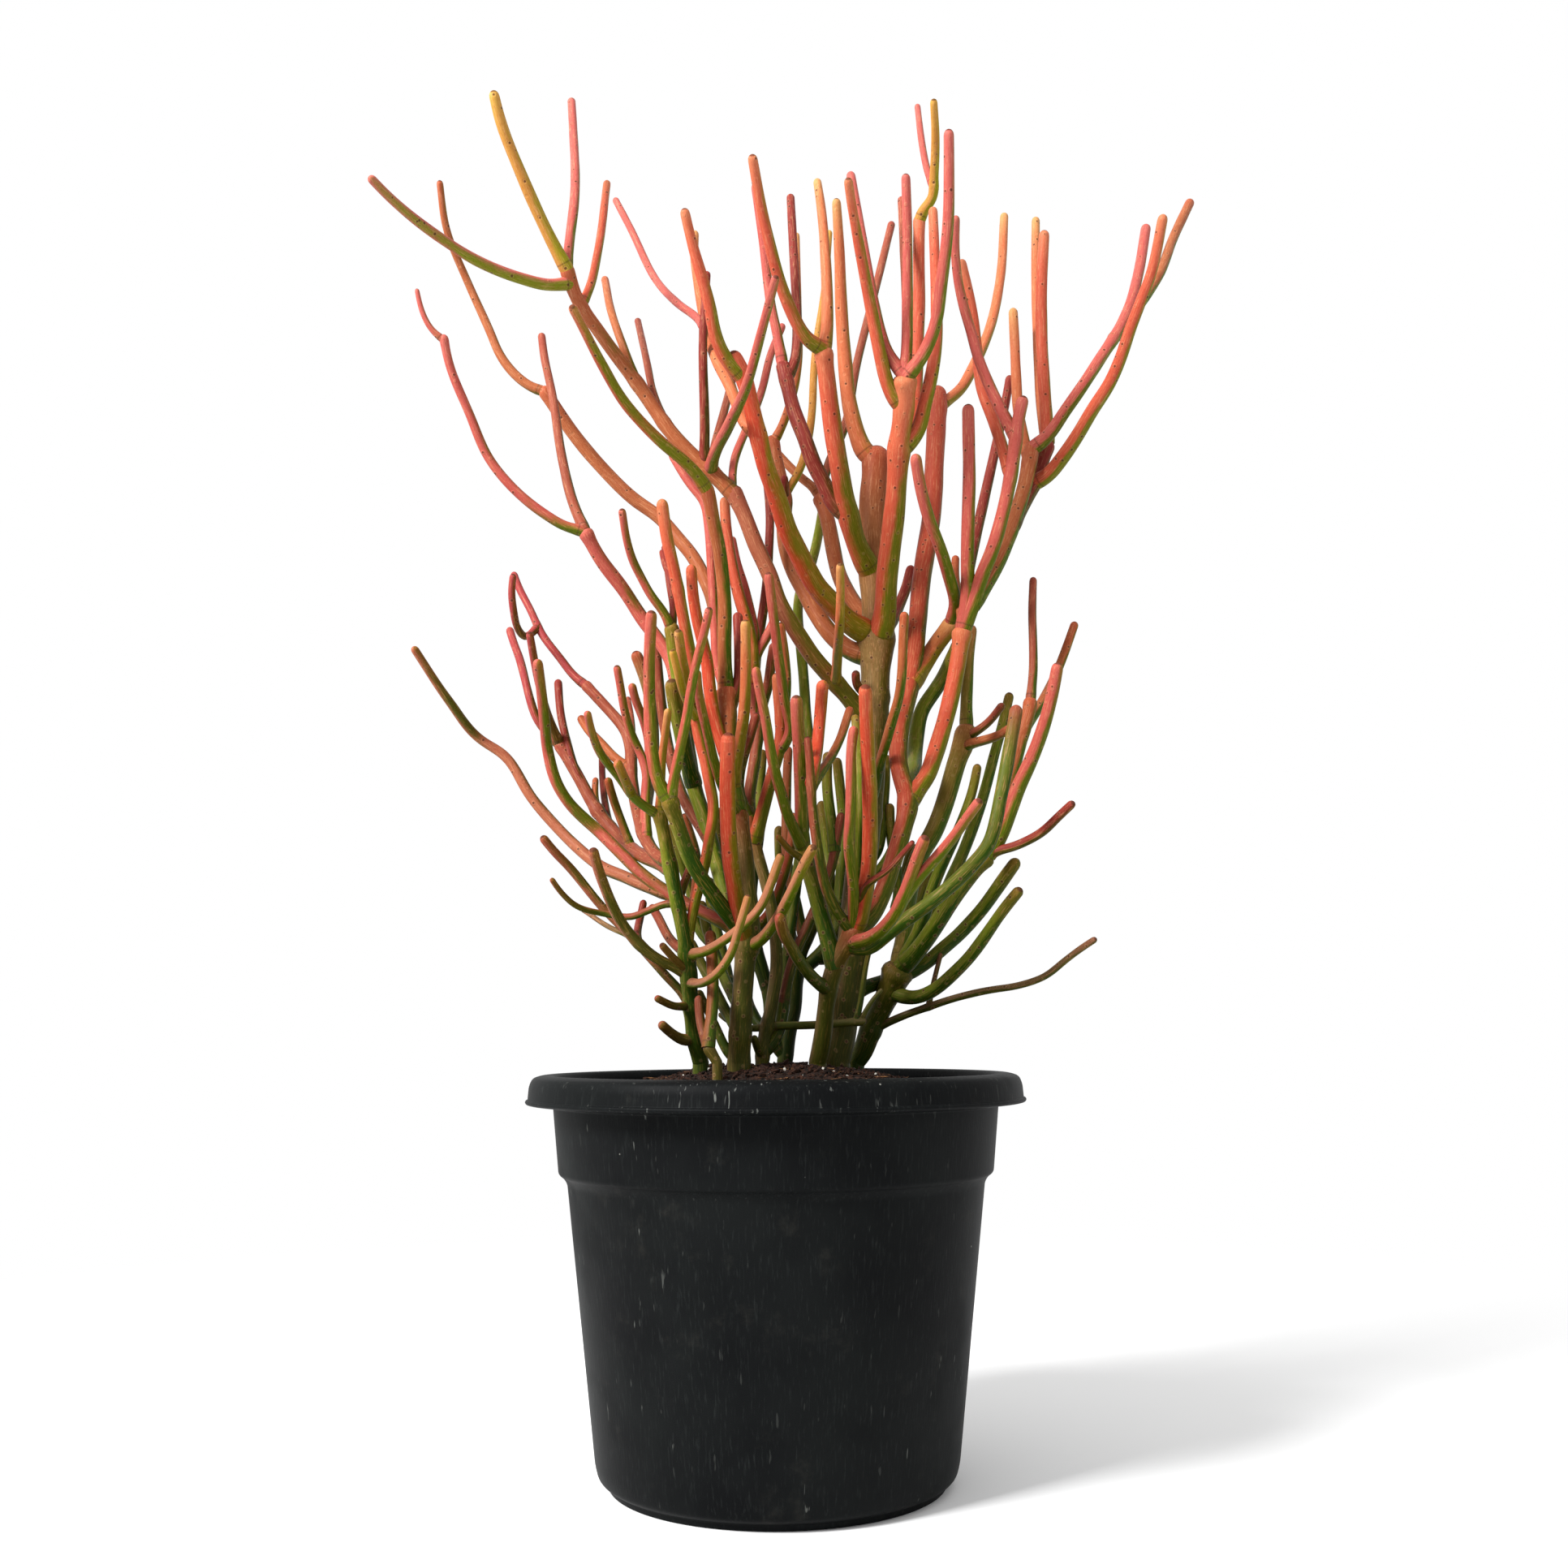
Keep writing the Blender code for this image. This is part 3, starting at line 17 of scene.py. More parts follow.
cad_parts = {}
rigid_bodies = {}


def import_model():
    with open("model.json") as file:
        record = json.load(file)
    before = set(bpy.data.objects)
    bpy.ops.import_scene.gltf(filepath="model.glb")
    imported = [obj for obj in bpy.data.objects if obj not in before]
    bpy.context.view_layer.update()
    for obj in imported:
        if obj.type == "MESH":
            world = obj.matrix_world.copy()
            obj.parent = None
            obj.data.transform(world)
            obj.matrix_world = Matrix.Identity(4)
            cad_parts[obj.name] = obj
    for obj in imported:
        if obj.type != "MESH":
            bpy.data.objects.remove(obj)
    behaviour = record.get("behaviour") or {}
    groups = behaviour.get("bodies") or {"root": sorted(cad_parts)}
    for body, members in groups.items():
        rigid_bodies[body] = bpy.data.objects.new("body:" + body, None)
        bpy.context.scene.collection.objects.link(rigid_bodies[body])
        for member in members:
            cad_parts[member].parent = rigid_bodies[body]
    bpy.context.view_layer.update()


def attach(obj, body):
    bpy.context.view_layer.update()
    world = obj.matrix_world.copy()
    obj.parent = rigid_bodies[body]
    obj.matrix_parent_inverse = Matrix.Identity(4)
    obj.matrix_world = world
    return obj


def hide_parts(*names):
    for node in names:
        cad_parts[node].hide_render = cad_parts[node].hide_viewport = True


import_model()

bl_info = {
    "name": "Potted pencil cactus",
    "version": (1, 0, 0),
    "blender": (4, 5, 0),
    "location": "View3D > Sidebar > Cactus",
    "description": "Builds the fine pencil cactus, its soil and its nursery pot on the packed model",
    "category": "Object",
}

MM = 0.001
BODY = "root"

# Where the photograph was taken from, in millimetres, and how the depths are stretched
VIEW_DISTANCE = 1086.0
VIEW_ACROSS = 6.7
VIEW_UP = 283.6
DEPTH_STRETCH = 1.6
FOOT_LEVEL = 205.0
COLLAR_LEVEL = 264.0

# Each shoot: its name, the shoot it grows from, its tint, its width at the foot and at the
# tip, its depths from foot to tip (negative is toward the viewer), and its line as
# (across, up) readings on the upright plane through the pot's axis, all in millimetres
TRUNK = (
    ("trunk", "", "tan", 20, 17, (16, 24, 30),
     ((39, 246), (42.5, 280), (47, 310), (52, 340), (57, 380), (62, 420), (66, 460), (69, 500), (71, 540),
      (71.5, 580), (69, 620), (70.3, 650), (73.2, 680), (74, 694))),
    ("right front limb", "trunk", "coral", 14, 13, (-14, -44),
     ((73, 548), (75.5, 560), (79.8, 600), (86.2, 650), (90.6, 700), (94, 725), (95, 748))),
    ("c1", "right front limb", "coral", 9.5, 6, (-60, -95),
     ((91, 722), (86.9, 730), (82.4, 740), (78, 760), (71.1, 800), (64.5, 840), (58, 882), (56, 899))),
    ("c2", "right front limb", "rose", 8, 6, (-48, -30),
     ((93, 746), (89, 754), (82.2, 765), (77.7, 780), (73.7, 800), (67, 842), (60.5, 885), (57.8, 903))),
    ("e1", "right front limb", "rose", 8, 6, (-55, -70),
     ((95.5, 746), (96.8, 770), (97.6, 800), (98.6, 870), (98.2, 902))),
    ("e2", "right front limb", "dusky", 6, 5, (-25, 0),
     ((97, 748), (96.5, 780), (95.5, 850), (94.7, 883))),
    ("f0", "right front limb", "coral", 9, 7.5, (-16, -8, -4),
     ((97, 694), (100, 712), (102.5, 735), (103.5, 755), (104.5, 775), (106, 800), (106.6, 840),
      (107.5, 869))),
    ("f1", "f0", "yellow", 7, 5, (-20, -40),
     ((107.5, 864), (111, 874), (116.3, 880), (118.8, 900), (120.5, 930), (119.8, 961))),
    ("f2", "f1", "rose", 5, 4, (-5, 10),
     ((117.5, 892), (113.8, 905), (111.3, 920), (107.7, 956))),
    ("g", "right front limb", "rose", 9, 7, (-75, -95),
     ((96, 744), (107.5, 761), (116, 780), (123, 820), (128.1, 860), (130, 910), (130.4, 937))),
    ("b", "trunk", "peach", 11.5, 6, (20, 0),
     ((72, 684), (66, 688), (61, 700), (55.9, 720), (52, 760), (50, 800), (49.2, 840), (47.3, 883))),
    ("inner limb", "trunk", "coral", 13.5, 11, (-8, -30),
     ((69, 598), (64, 610), (59.5, 620), (54, 640), (50, 660), (47, 680), (44, 700), (41.5, 720),
      (39, 745), (36.5, 770))),
    ("a", "inner limb", "peach", 8.5, 5.5, (-30, -20),
     ((37, 764), (39.5, 780), (40, 800), (38.9, 840), (35.8, 880), (33.4, 898))),
    ("a1", "inner limb", "coral", 9, 6.5, (-55, -80),
     ((35, 766), (25, 775), (17, 789), (12, 801), (5.5, 820), (0.5, 840), (-6, 870), (-14, 918))),
    ("m", "inner limb", "maroon", 11, 9, (0, 8),
     ((50, 642), (43, 652), (36.5, 666), (29.5, 680), (23, 700), (15.5, 720), (11, 740), (7, 758))),
    ("m1", "m", "rose", 7, 5.5, (5, -5),
     ((7.5, 756), (3.5, 780), (-0.5, 800), (-3, 820), (-6, 850), (-12, 895))),
    ("m2", "m", "maroon", 7, 5.5, (18, 30),
     ((11, 744), (16.5, 758), (18, 772), (17.8, 800), (16, 840), (14, 886))),
    ("d0", "trunk", "olive", 10.5, 9.5, (52, 62),
     ((68, 560), (56, 580), (46, 600), (42, 620), (38.5, 640), (33, 659))),
    ("d", "d0", "dusky", 6, 5, (70, 75, 95),
     ((34, 656), (36, 668), (40, 682), (51, 707), (60.5, 755), (73, 805), (87.6, 864))),
    ("d1", "d0", "olive", 6, 5, (80, 92),
     ((34, 656), (29, 664), (22, 669), (14, 677), (5, 687), (-6, 700), (-22, 722), (-34, 760))),
    ("cross limb", "trunk", "olive", 12, 9, (44, 52),
     ((66, 540), (54, 545), (48, 549), (40, 557), (30, 572), (22, 588), (14, 604), (9, 620), (8, 640),
      (8, 655), (3, 680), (-1, 702))),
    ("o", "cross limb", "yellow", 5.5, 4.5, (70, 74),
     ((8, 657), (12, 664), (17, 672), (21.5, 683), (25, 697), (28.5, 722), (29.5, 745), (32, 772),
      (38, 810), (42, 858))),
    ("p", "cross limb", "peach", 5.5, 4.5, (42, 36, 44),
     ((-1, 696), (4, 703), (9.5, 716), (13, 727), (16, 738), (19, 758), (19, 790), (18, 856))),
    ("p1", "cross limb", "maroon", 5.5, 5, (40,),
     ((6, 652), (8.5, 661), (8.3, 673))),
    ("coral limb", "trunk", "flame", 14.5, 10, (-4, -40, -60),
     ((68, 556), (58, 562), (50, 568), (42, 578), (30, 592), (24, 603), (16, 620), (10, 633), (6.5, 645),
      (2, 660), (-5.5, 682), (-9.5, 700), (-14, 720), (-20, 745), (-29, 766))),
    ("left limb", "trunk", "limb", 11, 10, (0, -4),
     ((68, 494), (60, 501), (53.5, 510), (45, 520), (37.5, 529), (27.4, 541), (20, 552.5), (13, 564),
      (4, 580), (-2.4, 600), (-11.4, 620), (-21.5, 647), (-30, 665))),
    ("l0", "left limb", "olive", 10, 8, (-8, -45),
     ((-27, 658), (-33.8, 666), (-47.4, 679), (-68, 700), (-95, 740), (-122.6, 779), (-141.8, 810),
      (-149, 833))),
    ("l1", "l0", "yellow", 8.5, 7, (-62, -80),
     ((-148, 828), (-158.7, 850), (-181, 900), (-199.6, 950), (-204.4, 970))),
    ("l2", "l0", "rose", 7, 5.5, (-30, 10),
     ((-149, 829), (-146.3, 850), (-143.3, 880), (-145, 940), (-146.5, 962))),
    ("l3", "l0", "pink", 8, 6, (-75, -120),
     ((-146, 818), (-160, 817), (-180, 822), (-210, 834.5), (-240, 854), (-280, 888), (-293, 902))),
    ("l0a", "l0", "coral", 6, 5, (-20, 5),
     ((-136, 802), (-131, 815), (-126, 840), (-119.5, 897))),
    ("l0b", "l0", "olive", 6, 5, (-15, 25),
     ((-97, 742), (-106, 768), (-112, 785), (-120.5, 822))),
    ("l0c", "l0", "dusky", 5.5, 4.5, (0, 40),
     ((-77, 713), (-85, 735), (-89, 755), (-96.5, 790))),
    ("sa", "l0", "maroon", 7, 5, (-24, -30),
     ((-47, 679), (-48.3, 690), (-48.1, 700), (-49.3, 780), (-46.5, 827))),
    ("sb", "sa", "rose", 5.5, 4.5, (45, 75),
     ((-49, 784), (-52.8, 790), (-67.3, 802), (-85.6, 824), (-102, 860), (-113.7, 883.5))),
    ("sc", "l0", "rose", 8, 5.5, (-85, -125),
     ((-44, 676), (-42, 686), (-31, 710), (-18.2, 740), (-7.5, 780), (3.3, 823))),
    ("sd", "l0", "dusky", 6, 5, (5, 30),
     ((-43, 677), (-41, 695), (-37, 710), (-30, 738), (-26, 756))),
    ("se", "left limb", "rose", 5.5, 5, (15, 32),
     ((-30, 662), (-27, 685), (-21, 701), (-7.6, 735), (-1, 763), (8, 786))),
    ("h4", "left limb", "peach", 6.8, 5.2, (-40, -60),
     ((43, 522), (44.5, 545), (46.5, 570), (47, 590), (47, 608))),
    ("f3", "right front limb", "coral", 10, 6, (-36, -34, -22),
     ((98, 688), (103.5, 705), (108, 722), (112, 738), (115.5, 755), (118, 775), (118.5, 800), (118, 840),
      (117.5, 875))),
    ("n1", "coral limb", "coral", 9.5, 6.5, (-75, -90),
     ((-19, 746), (-25, 751), (-33.5, 761), (-41, 780), (-44.5, 800), (-49.6, 820), (-55.5, 841),
      (-60.5, 862), (-63.5, 876))),
    ("n2", "coral limb", "peach", 8, 5.5, (-30, 0, 10),
     ((-15, 700), (-20, 712), (-26, 728), (-31.5, 742), (-39, 757), (-45, 775), (-50, 797), (-53.5, 820),
      (-56, 842), (-55.5, 858))),
    ("brown stub", "trunk", "maroon", 8, 6.5, (52, 58),
     ((77, 552), (83, 566), (88, 578), (93, 590), (97, 606))),
    ("dark green", "trunk", "green", 9, 6, (50, 66, 60, 48),
     ((46, 304), (60, 313), (78, 319), (92, 330), (104, 352), (112, 368), (120, 386), (128, 403),
      (135, 420), (141, 436), (146, 452), (151, 470), (157, 490), (163.5, 515))),
    ("trunk stub", "trunk", "maroon", 5.5, 5.5, (12,),
     ((62, 512), (57.5, 520), (57, 531))),
    ("olive shoot", "trunk", "olive", 6.5, 6, (-14, -36, -44),
     ((64, 430), (69, 447), (73, 467), (77, 480), (82, 497), (86.5, 512), (89, 530), (90, 550),
      (91.5, 573))),
)
LEFT = (
    ("stem", "", "green", 10, 8, (-14, -34, -50),
     ((-50, 246), (-53, 275), (-57, 305), (-60, 340), (-62, 352), (-66, 370), (-70, 390), (-74, 410),
      (-77, 425), (-79.5, 436))),
    ("w4", "stem", "peach", 5.5, 5, (-56, -70),
     ((-79, 432), (-78, 445), (-77, 470), (-74, 495), (-73, 505))),
    ("x1", "stem", "coral", 6.5, 8, (-44, -40, -60, -75),
     ((-60, 335), (-58, 350), (-54, 372), (-49, 390), (-44.5, 415), (-41.5, 436), (-45, 455), (-48, 470),
      (-52, 485), (-54, 505), (-57, 540), (-61, 560), (-68.5, 600), (-75, 630), (-78.5, 656))),
    ("maroon twig", "x1", "maroon", 5, 4, (-40,),
     ((-66, 590), (-71, 598), (-75, 606), (-78, 618))),
    ("pa", "x1", "yellow", 5.5, 5, (-75, -85),
     ((-55, 498), (-61, 512), (-65, 525), (-70.5, 547))),
    ("pb", "x1", "peach", 6.5, 6, (-66, -80),
     ((-55, 506), (-59, 520), (-62.5, 535), (-66.5, 561))),
    ("t1", "stem", "rose", 6, 5, (-60, -95),
     ((-78, 430), (-83, 434), (-88, 436), (-95, 442), (-107, 458), (-119, 473), (-126.5, 492),
      (-129, 503))),
    ("t1a", "t1", "coral", 6, 6, (-80,),
     ((-98, 446), (-103, 457), (-108, 468))),
    ("q2", "stem", "dusky", 9, 7, (16, 24, 30),
     ((-71, 393), (-79, 398), (-88, 402), (-98, 408), (-110, 420), (-119, 431), (-126, 442), (-134, 457),
      (-141, 469), (-149, 483))),
    ("q2a", "q2", "cherry", 6, 5, (10, -10),
     ((-148, 480), (-156, 500), (-163, 525), (-170, 560))),
    ("q2b", "q2", "cherry", 5.5, 5, (30, 50),
     ((-147, 478), (-157, 489), (-163, 497), (-168, 510), (-172, 525), (-177, 543), (-181, 553),
      (-184, 563))),
    ("q2c", "q2", "maroon", 5.5, 5, (28, 40),
     ((-121, 434), (-131, 452), (-138, 466), (-142, 480), (-147, 500), (-149.5, 526))),
    ("q2d", "q2", "maroon", 4.5, 4, (35, 50),
     ((-112, 423), (-116, 440), (-118, 458), (-118.5, 474))),
    ("q2e", "q2", "olive", 5.5, 5.5, (4, -6),
     ((-97, 408), (-102, 420), (-107, 433), (-111.5, 446), (-114.5, 457))),
    ("l11", "stem", "dusky", 8, 6.5, (-10, 10, 20),
     ((-72, 398), (-80, 403), (-88, 415), (-93, 430), (-96, 445), (-98, 460), (-99, 478), (-103, 491),
      (-112, 502), (-122, 513), (-132, 524))),
    ("l10", "l11", "cherry", 5.5, 4.5, (25, 40),
     ((-130, 521), (-138, 528), (-148, 541), (-161, 558), (-170, 577), (-178, 592), (-182, 603))),
    ("l11a", "l11", "olive", 6, 5.5, (10, 20),
     ((-98, 463), (-103, 466), (-110, 471), (-119, 481), (-127, 489), (-134, 500))),
    ("l11b", "l11", "rose", 6, 5, (-20, -40),
     ((-87, 413), (-88, 440), (-88, 462), (-92, 474), (-98, 487), (-103, 503), (-106, 520), (-109, 536))),
    ("l11c", "l11", "rose", 6.5, 5.5, (0, -20),
     ((-89, 418), (-88, 450), (-86, 480), (-91, 500), (-96, 512), (-98.5, 523))),
    ("l11d", "l11", "tan", 7.5, 7.5, (46, 40),
     ((-90, 420), (-86, 450), (-83, 480), (-85, 510), (-91, 532), (-96.5, 546))),
    ("l11e", "l11", "dusky", 4, 3.5, (40,),
     ((-98, 470), (-97.5, 490), (-98.5, 500), (-101, 513))),
    ("tan shoot", "stem", "salmon", 7, 6.5, (-40, -75),
     ((-58, 322), (-66, 327), (-76, 331), (-84, 336), (-92, 343), (-100, 352), (-106, 361), (-111, 371),
      (-115.5, 382), (-120, 394), (-124, 408))),
    ("twig a", "stem", "dusky", 4.5, 3.5, (-30, -50),
     ((-66, 370), (-72, 371), (-80, 368), (-90, 364), (-97, 361), (-106, 362), (-117, 364), (-127, 366),
      (-134, 368.5), (-141, 374), (-148, 382), (-152, 388))),
    ("twig b", "stem", "dusky", 5.5, 5.5, (-24, -16, -20, -30),
     ((-58, 300), (-64, 312), (-72, 320), (-79, 328), (-88, 338), (-97, 348), (-106, 357), (-115, 366),
      (-122, 374), (-130, 384), (-140, 396), (-150, 406), (-159, 417))),
    ("stub a", "stem", "salmon", 6.5, 6, (-22, -34),
     ((-52, 280), (-60, 278), (-69, 283), (-77, 290))),
    ("stub b", "stem", "dusky", 5, 4.5, (-30, -44),
     ((-57, 302), (-62, 301), (-67, 301), (-73, 303.5), (-80, 307))),
    ("twig c", "twig b", "grey", 3.5, 3, (-10, 0),
     ((-97, 348), (-104, 351), (-112, 354.5), (-120, 359.5), (-127, 364.5), (-131, 367))),
    ("y2", "stem", "blush", 6.5, 5.5, (-50, -56, -60),
     ((-53, 336), (-47, 338), (-40, 341.5), (-32, 347), (-25, 352), (-17, 359), (-10, 367), (-5, 377),
      (-1, 388), (2, 397), (5, 404))),
    ("y4", "stem", "blush", 6, 5, (-52, -58, -62, -66, -68),
     ((-59, 317), (-52, 316.5), (-46, 318), (-40, 322), (-34, 329), (-29, 338), (-26, 348), (-23, 358),
      (-20, 368), (-18, 376))),
    ("stub c", "stem", "salmon", 5, 4.5, (-44,),
     ((-60, 325), (-66, 331), (-77, 343))),
    ("low dusky", "stem", "dusky", 6, 5.5, (-20, -8),
     ((-64, 336), (-71, 346), (-76, 355), (-79.5, 362), (-84, 369))),
    ("low maroon", "tan shoot", "maroon", 5, 4.5, (-12, -10),
     ((-92, 343), (-93, 352), (-91, 362), (-88.7, 373))),
    ("l10a", "l10", "cherry", 5, 4.5, (4, -6),
     ((-166, 563), (-173, 556), (-178, 562), (-181, 574), (-183, 588), (-182, 602))),
    ("q2f", "q2", "olive", 4.5, 4, (28,),
     ((-121, 434), (-123, 445), (-122.5, 457))),
)
TAN = (
    ("stem", "", "tan", 13.5, 11, (-22, -30, -26),
     ((-24.5, 246), (-24, 275), (-22, 310), (-20, 335), (-17, 360), (-19, 380), (-20.5, 400), (-23, 420),
      (-25.5, 436))),
    ("x2", "stem", "rose", 6.5, 5.5, (-58, -84),
     ((-24, 430), (-29, 438), (-34, 447), (-41, 467), (-46, 488), (-50, 505), (-52.5, 520), (-53, 532))),
    ("x3", "stem", "flame", 11, 9.5, (-58, -74),
     ((-19, 342), (-23, 356), (-27, 380), (-30, 400), (-31.5, 420), (-32, 445), (-32, 470), (-31.5, 488))),
    ("tb", "stem", "olive", 10.5, 11, (-20, -12),
     ((-25, 432), (-28, 446), (-31, 465), (-31.5, 485), (-32, 505), (-33, 521))),
    ("tb2", "tb", "olive", 9, 8.5, (-18, -42),
     ((-33, 516), (-34, 540), (-34, 560), (-34, 580), (-35.5, 600), (-38, 620), (-42, 640), (-44.5, 655),
      (-48, 668))),
    ("l5b", "tb2", "coral", 8, 6, (-70, -125),
     ((-46.5, 662), (-53, 673), (-60, 681), (-80, 699), (-101, 722), (-122, 757), (-137, 787),
      (-144, 801))),
    ("ta", "tb", "rose", 6, 5.5, (6, 10, 20),
     ((-34, 516), (-38.5, 531), (-40.8, 560), (-43, 600), (-46, 640), (-49, 655), (-54, 661), (-60, 669),
      (-66, 679), (-72, 690))),
    ("x4", "tb", "peach", 8, 6.5, (-42, -55),
     ((-28, 447), (-27, 458), (-24.5, 475), (-22, 490), (-20, 510), (-19.3, 540), (-19.5, 568))),
    ("u1", "tb", "flame", 8.5, 7, (-22, -40),
     ((-31, 468), (-37.5, 485), (-41.5, 500), (-44.5, 520), (-46.5, 540), (-50, 555), (-53.5, 570),
      (-56.5, 590), (-57.5, 608))),
    ("stub", "tb", "maroon", 7, 6.5, (-4,),
     ((-29, 500), (-25, 520), (-24, 545), (-25, 573))),
    ("w1", "stem", "green", 10, 9.5, (-52, -74),
     ((-21, 346), (-28, 358), (-36, 368), (-46, 382), (-54, 394), (-58, 402), (-64, 418), (-69, 433),
      (-73, 445))),
    ("w2", "w1", "rose", 8.5, 7, (-80, -100),
     ((-71, 440), (-78, 450), (-82, 462), (-84.5, 480), (-86, 510), (-86.3, 540), (-85, 575))),
    ("w3", "w1", "rose", 7, 5.5, (-90, -115),
     ((-71, 439), (-69, 455), (-67, 465), (-64, 480), (-60, 500), (-57, 520), (-53, 540), (-48, 560),
      (-44.5, 577))),
    ("q", "stem", "rose", 8.5, 6.5, (-14, -5, -20, -60),
     ((-20, 344), (-30, 354), (-42, 361), (-56, 368), (-72, 377), (-82, 384), (-92, 392), (-102, 402),
      (-112, 412), (-120, 420), (-128, 427), (-141, 440), (-150, 455), (-155.5, 475), (-158.5, 500),
      (-164, 540))),
    ("l9", "q", "salmon", 8, 5, (14, 18, -20),
     ((-72, 377), (-84, 381), (-94, 385), (-105, 390), (-113.4, 393), (-133.4, 408), (-150.5, 425),
      (-166, 443), (-186.5, 474), (-200.8, 483), (-224.3, 511), (-250.7, 550))),
    ("z", "stem", "green", 10, 8, (0, 8, 0),
     ((-18, 352), (-29, 364), (-34, 378), (-38, 392), (-45, 418), (-50, 435), (-55, 450), (-58, 470),
      (-61, 490), (-64, 510), (-67, 530), (-70, 548), (-71, 567))),
    ("z1", "z", "green", 10, 10, (-22, -34),
     ((-55, 452), (-60, 470), (-64, 490), (-68, 508), (-71, 526))),
    ("z2", "z", "rose", 6, 5, (-10, -30),
     ((-71, 560), (-76, 573), (-85, 585), (-93, 600), (-98, 610), (-102.5, 625), (-106.5, 649))),
    ("z3", "z", "maroon", 5, 4, (4, 10),
     ((-70.5, 562), (-69.5, 575), (-72, 590), (-76.5, 622))),
    ("l8", "z", "rose", 9, 8.5, (18, 10, 0),
     ((-65, 520), (-72.5, 542), (-92, 570), (-104.6, 590), (-121, 612), (-133.5, 635))),
    ("l5", "l8", "rose", 6.5, 5.5, (-10, -30),
     ((-131, 632), (-138, 634), (-145.6, 636), (-157.4, 643), (-182, 663), (-200, 685), (-215.6, 720),
      (-231.7, 760), (-236, 780))),
    ("l5a", "l5", "rose", 4.5, 3, (-36,),
     ((-235.5, 775), (-244, 783), (-251.8, 798), (-256, 815))),
    ("l6", "l8", "dusky", 7, 5, (20, 40),
     ((-132, 632), (-140.4, 652), (-148.8, 685), (-157, 735), (-163.5, 765), (-165.4, 780))),
    ("x5", "z", "dusky", 7.5, 6, (30, 24),
     ((-43, 412), (-50, 422), (-56, 431), (-62, 442), (-67, 455), (-71, 470), (-75, 490), (-78, 510),
      (-80.5, 535), (-83, 560))),
    ("l7", "tb", "olive", 9, 8.5, (26, 44, 50, 40),
     ((-32, 512), (-36, 535), (-39, 560), (-44, 588), (-50, 602), (-57, 615), (-66, 626), (-80.5, 643),
      (-97, 655), (-119.8, 678), (-141, 704), (-153.8, 723), (-164.4, 740))),
    ("l4", "l7", "olive", 6.3, 4.5, (40, 10),
     ((-162, 736), (-169, 738), (-179.5, 745), (-195.2, 764.6), (-201.6, 780), (-219.4, 820), (-236, 862),
      (-241.8, 899))),
    ("y1", "stem", "blush", 7.5, 6.5, (-58, -85),
     ((-20, 341), (-13, 343), (-6, 349), (0, 357), (6, 367), (11, 377), (16, 388), (21, 398), (27, 409))),
    ("low green", "stem", "green", 6, 5, (-20, -18),
     ((-29, 262), (-33, 272), (-38, 283), (-43, 294), (-49, 305), (-52, 312))),
    ("q0", "q", "dusky", 5.5, 5, (-16, -22),
     ((-65, 374), (-61, 386), (-57, 396), (-54, 408))),
    ("low green 2", "stem", "green", 7, 6, (-6, 4),
     ((-27, 283), (-34, 299), (-42, 315), (-50, 330), (-58, 346))),
    ("low green 3", "stem", "green", 7, 6, (4, 10),
     ((-27, 298), (-33, 317), (-40, 335), (-46, 352), (-50, 372))),
)
SMALL = (
    ("stem", "", "grey", 6.5, 6, (-40, -40),
     ((-39, 246), (-42, 262), (-46.5, 276))),
    ("a", "stem", "dusky", 6, 5.5, (-34, -34),
     ((-45.5, 272), (-49, 285), (-51.3, 300), (-51.5, 308.5))),
    ("b", "stem", "olive", 7.5, 7, (-34, -26),
     ((-46, 273), (-44, 285), (-42.5, 298), (-42, 320), (-43, 338), (-44, 352))),
)
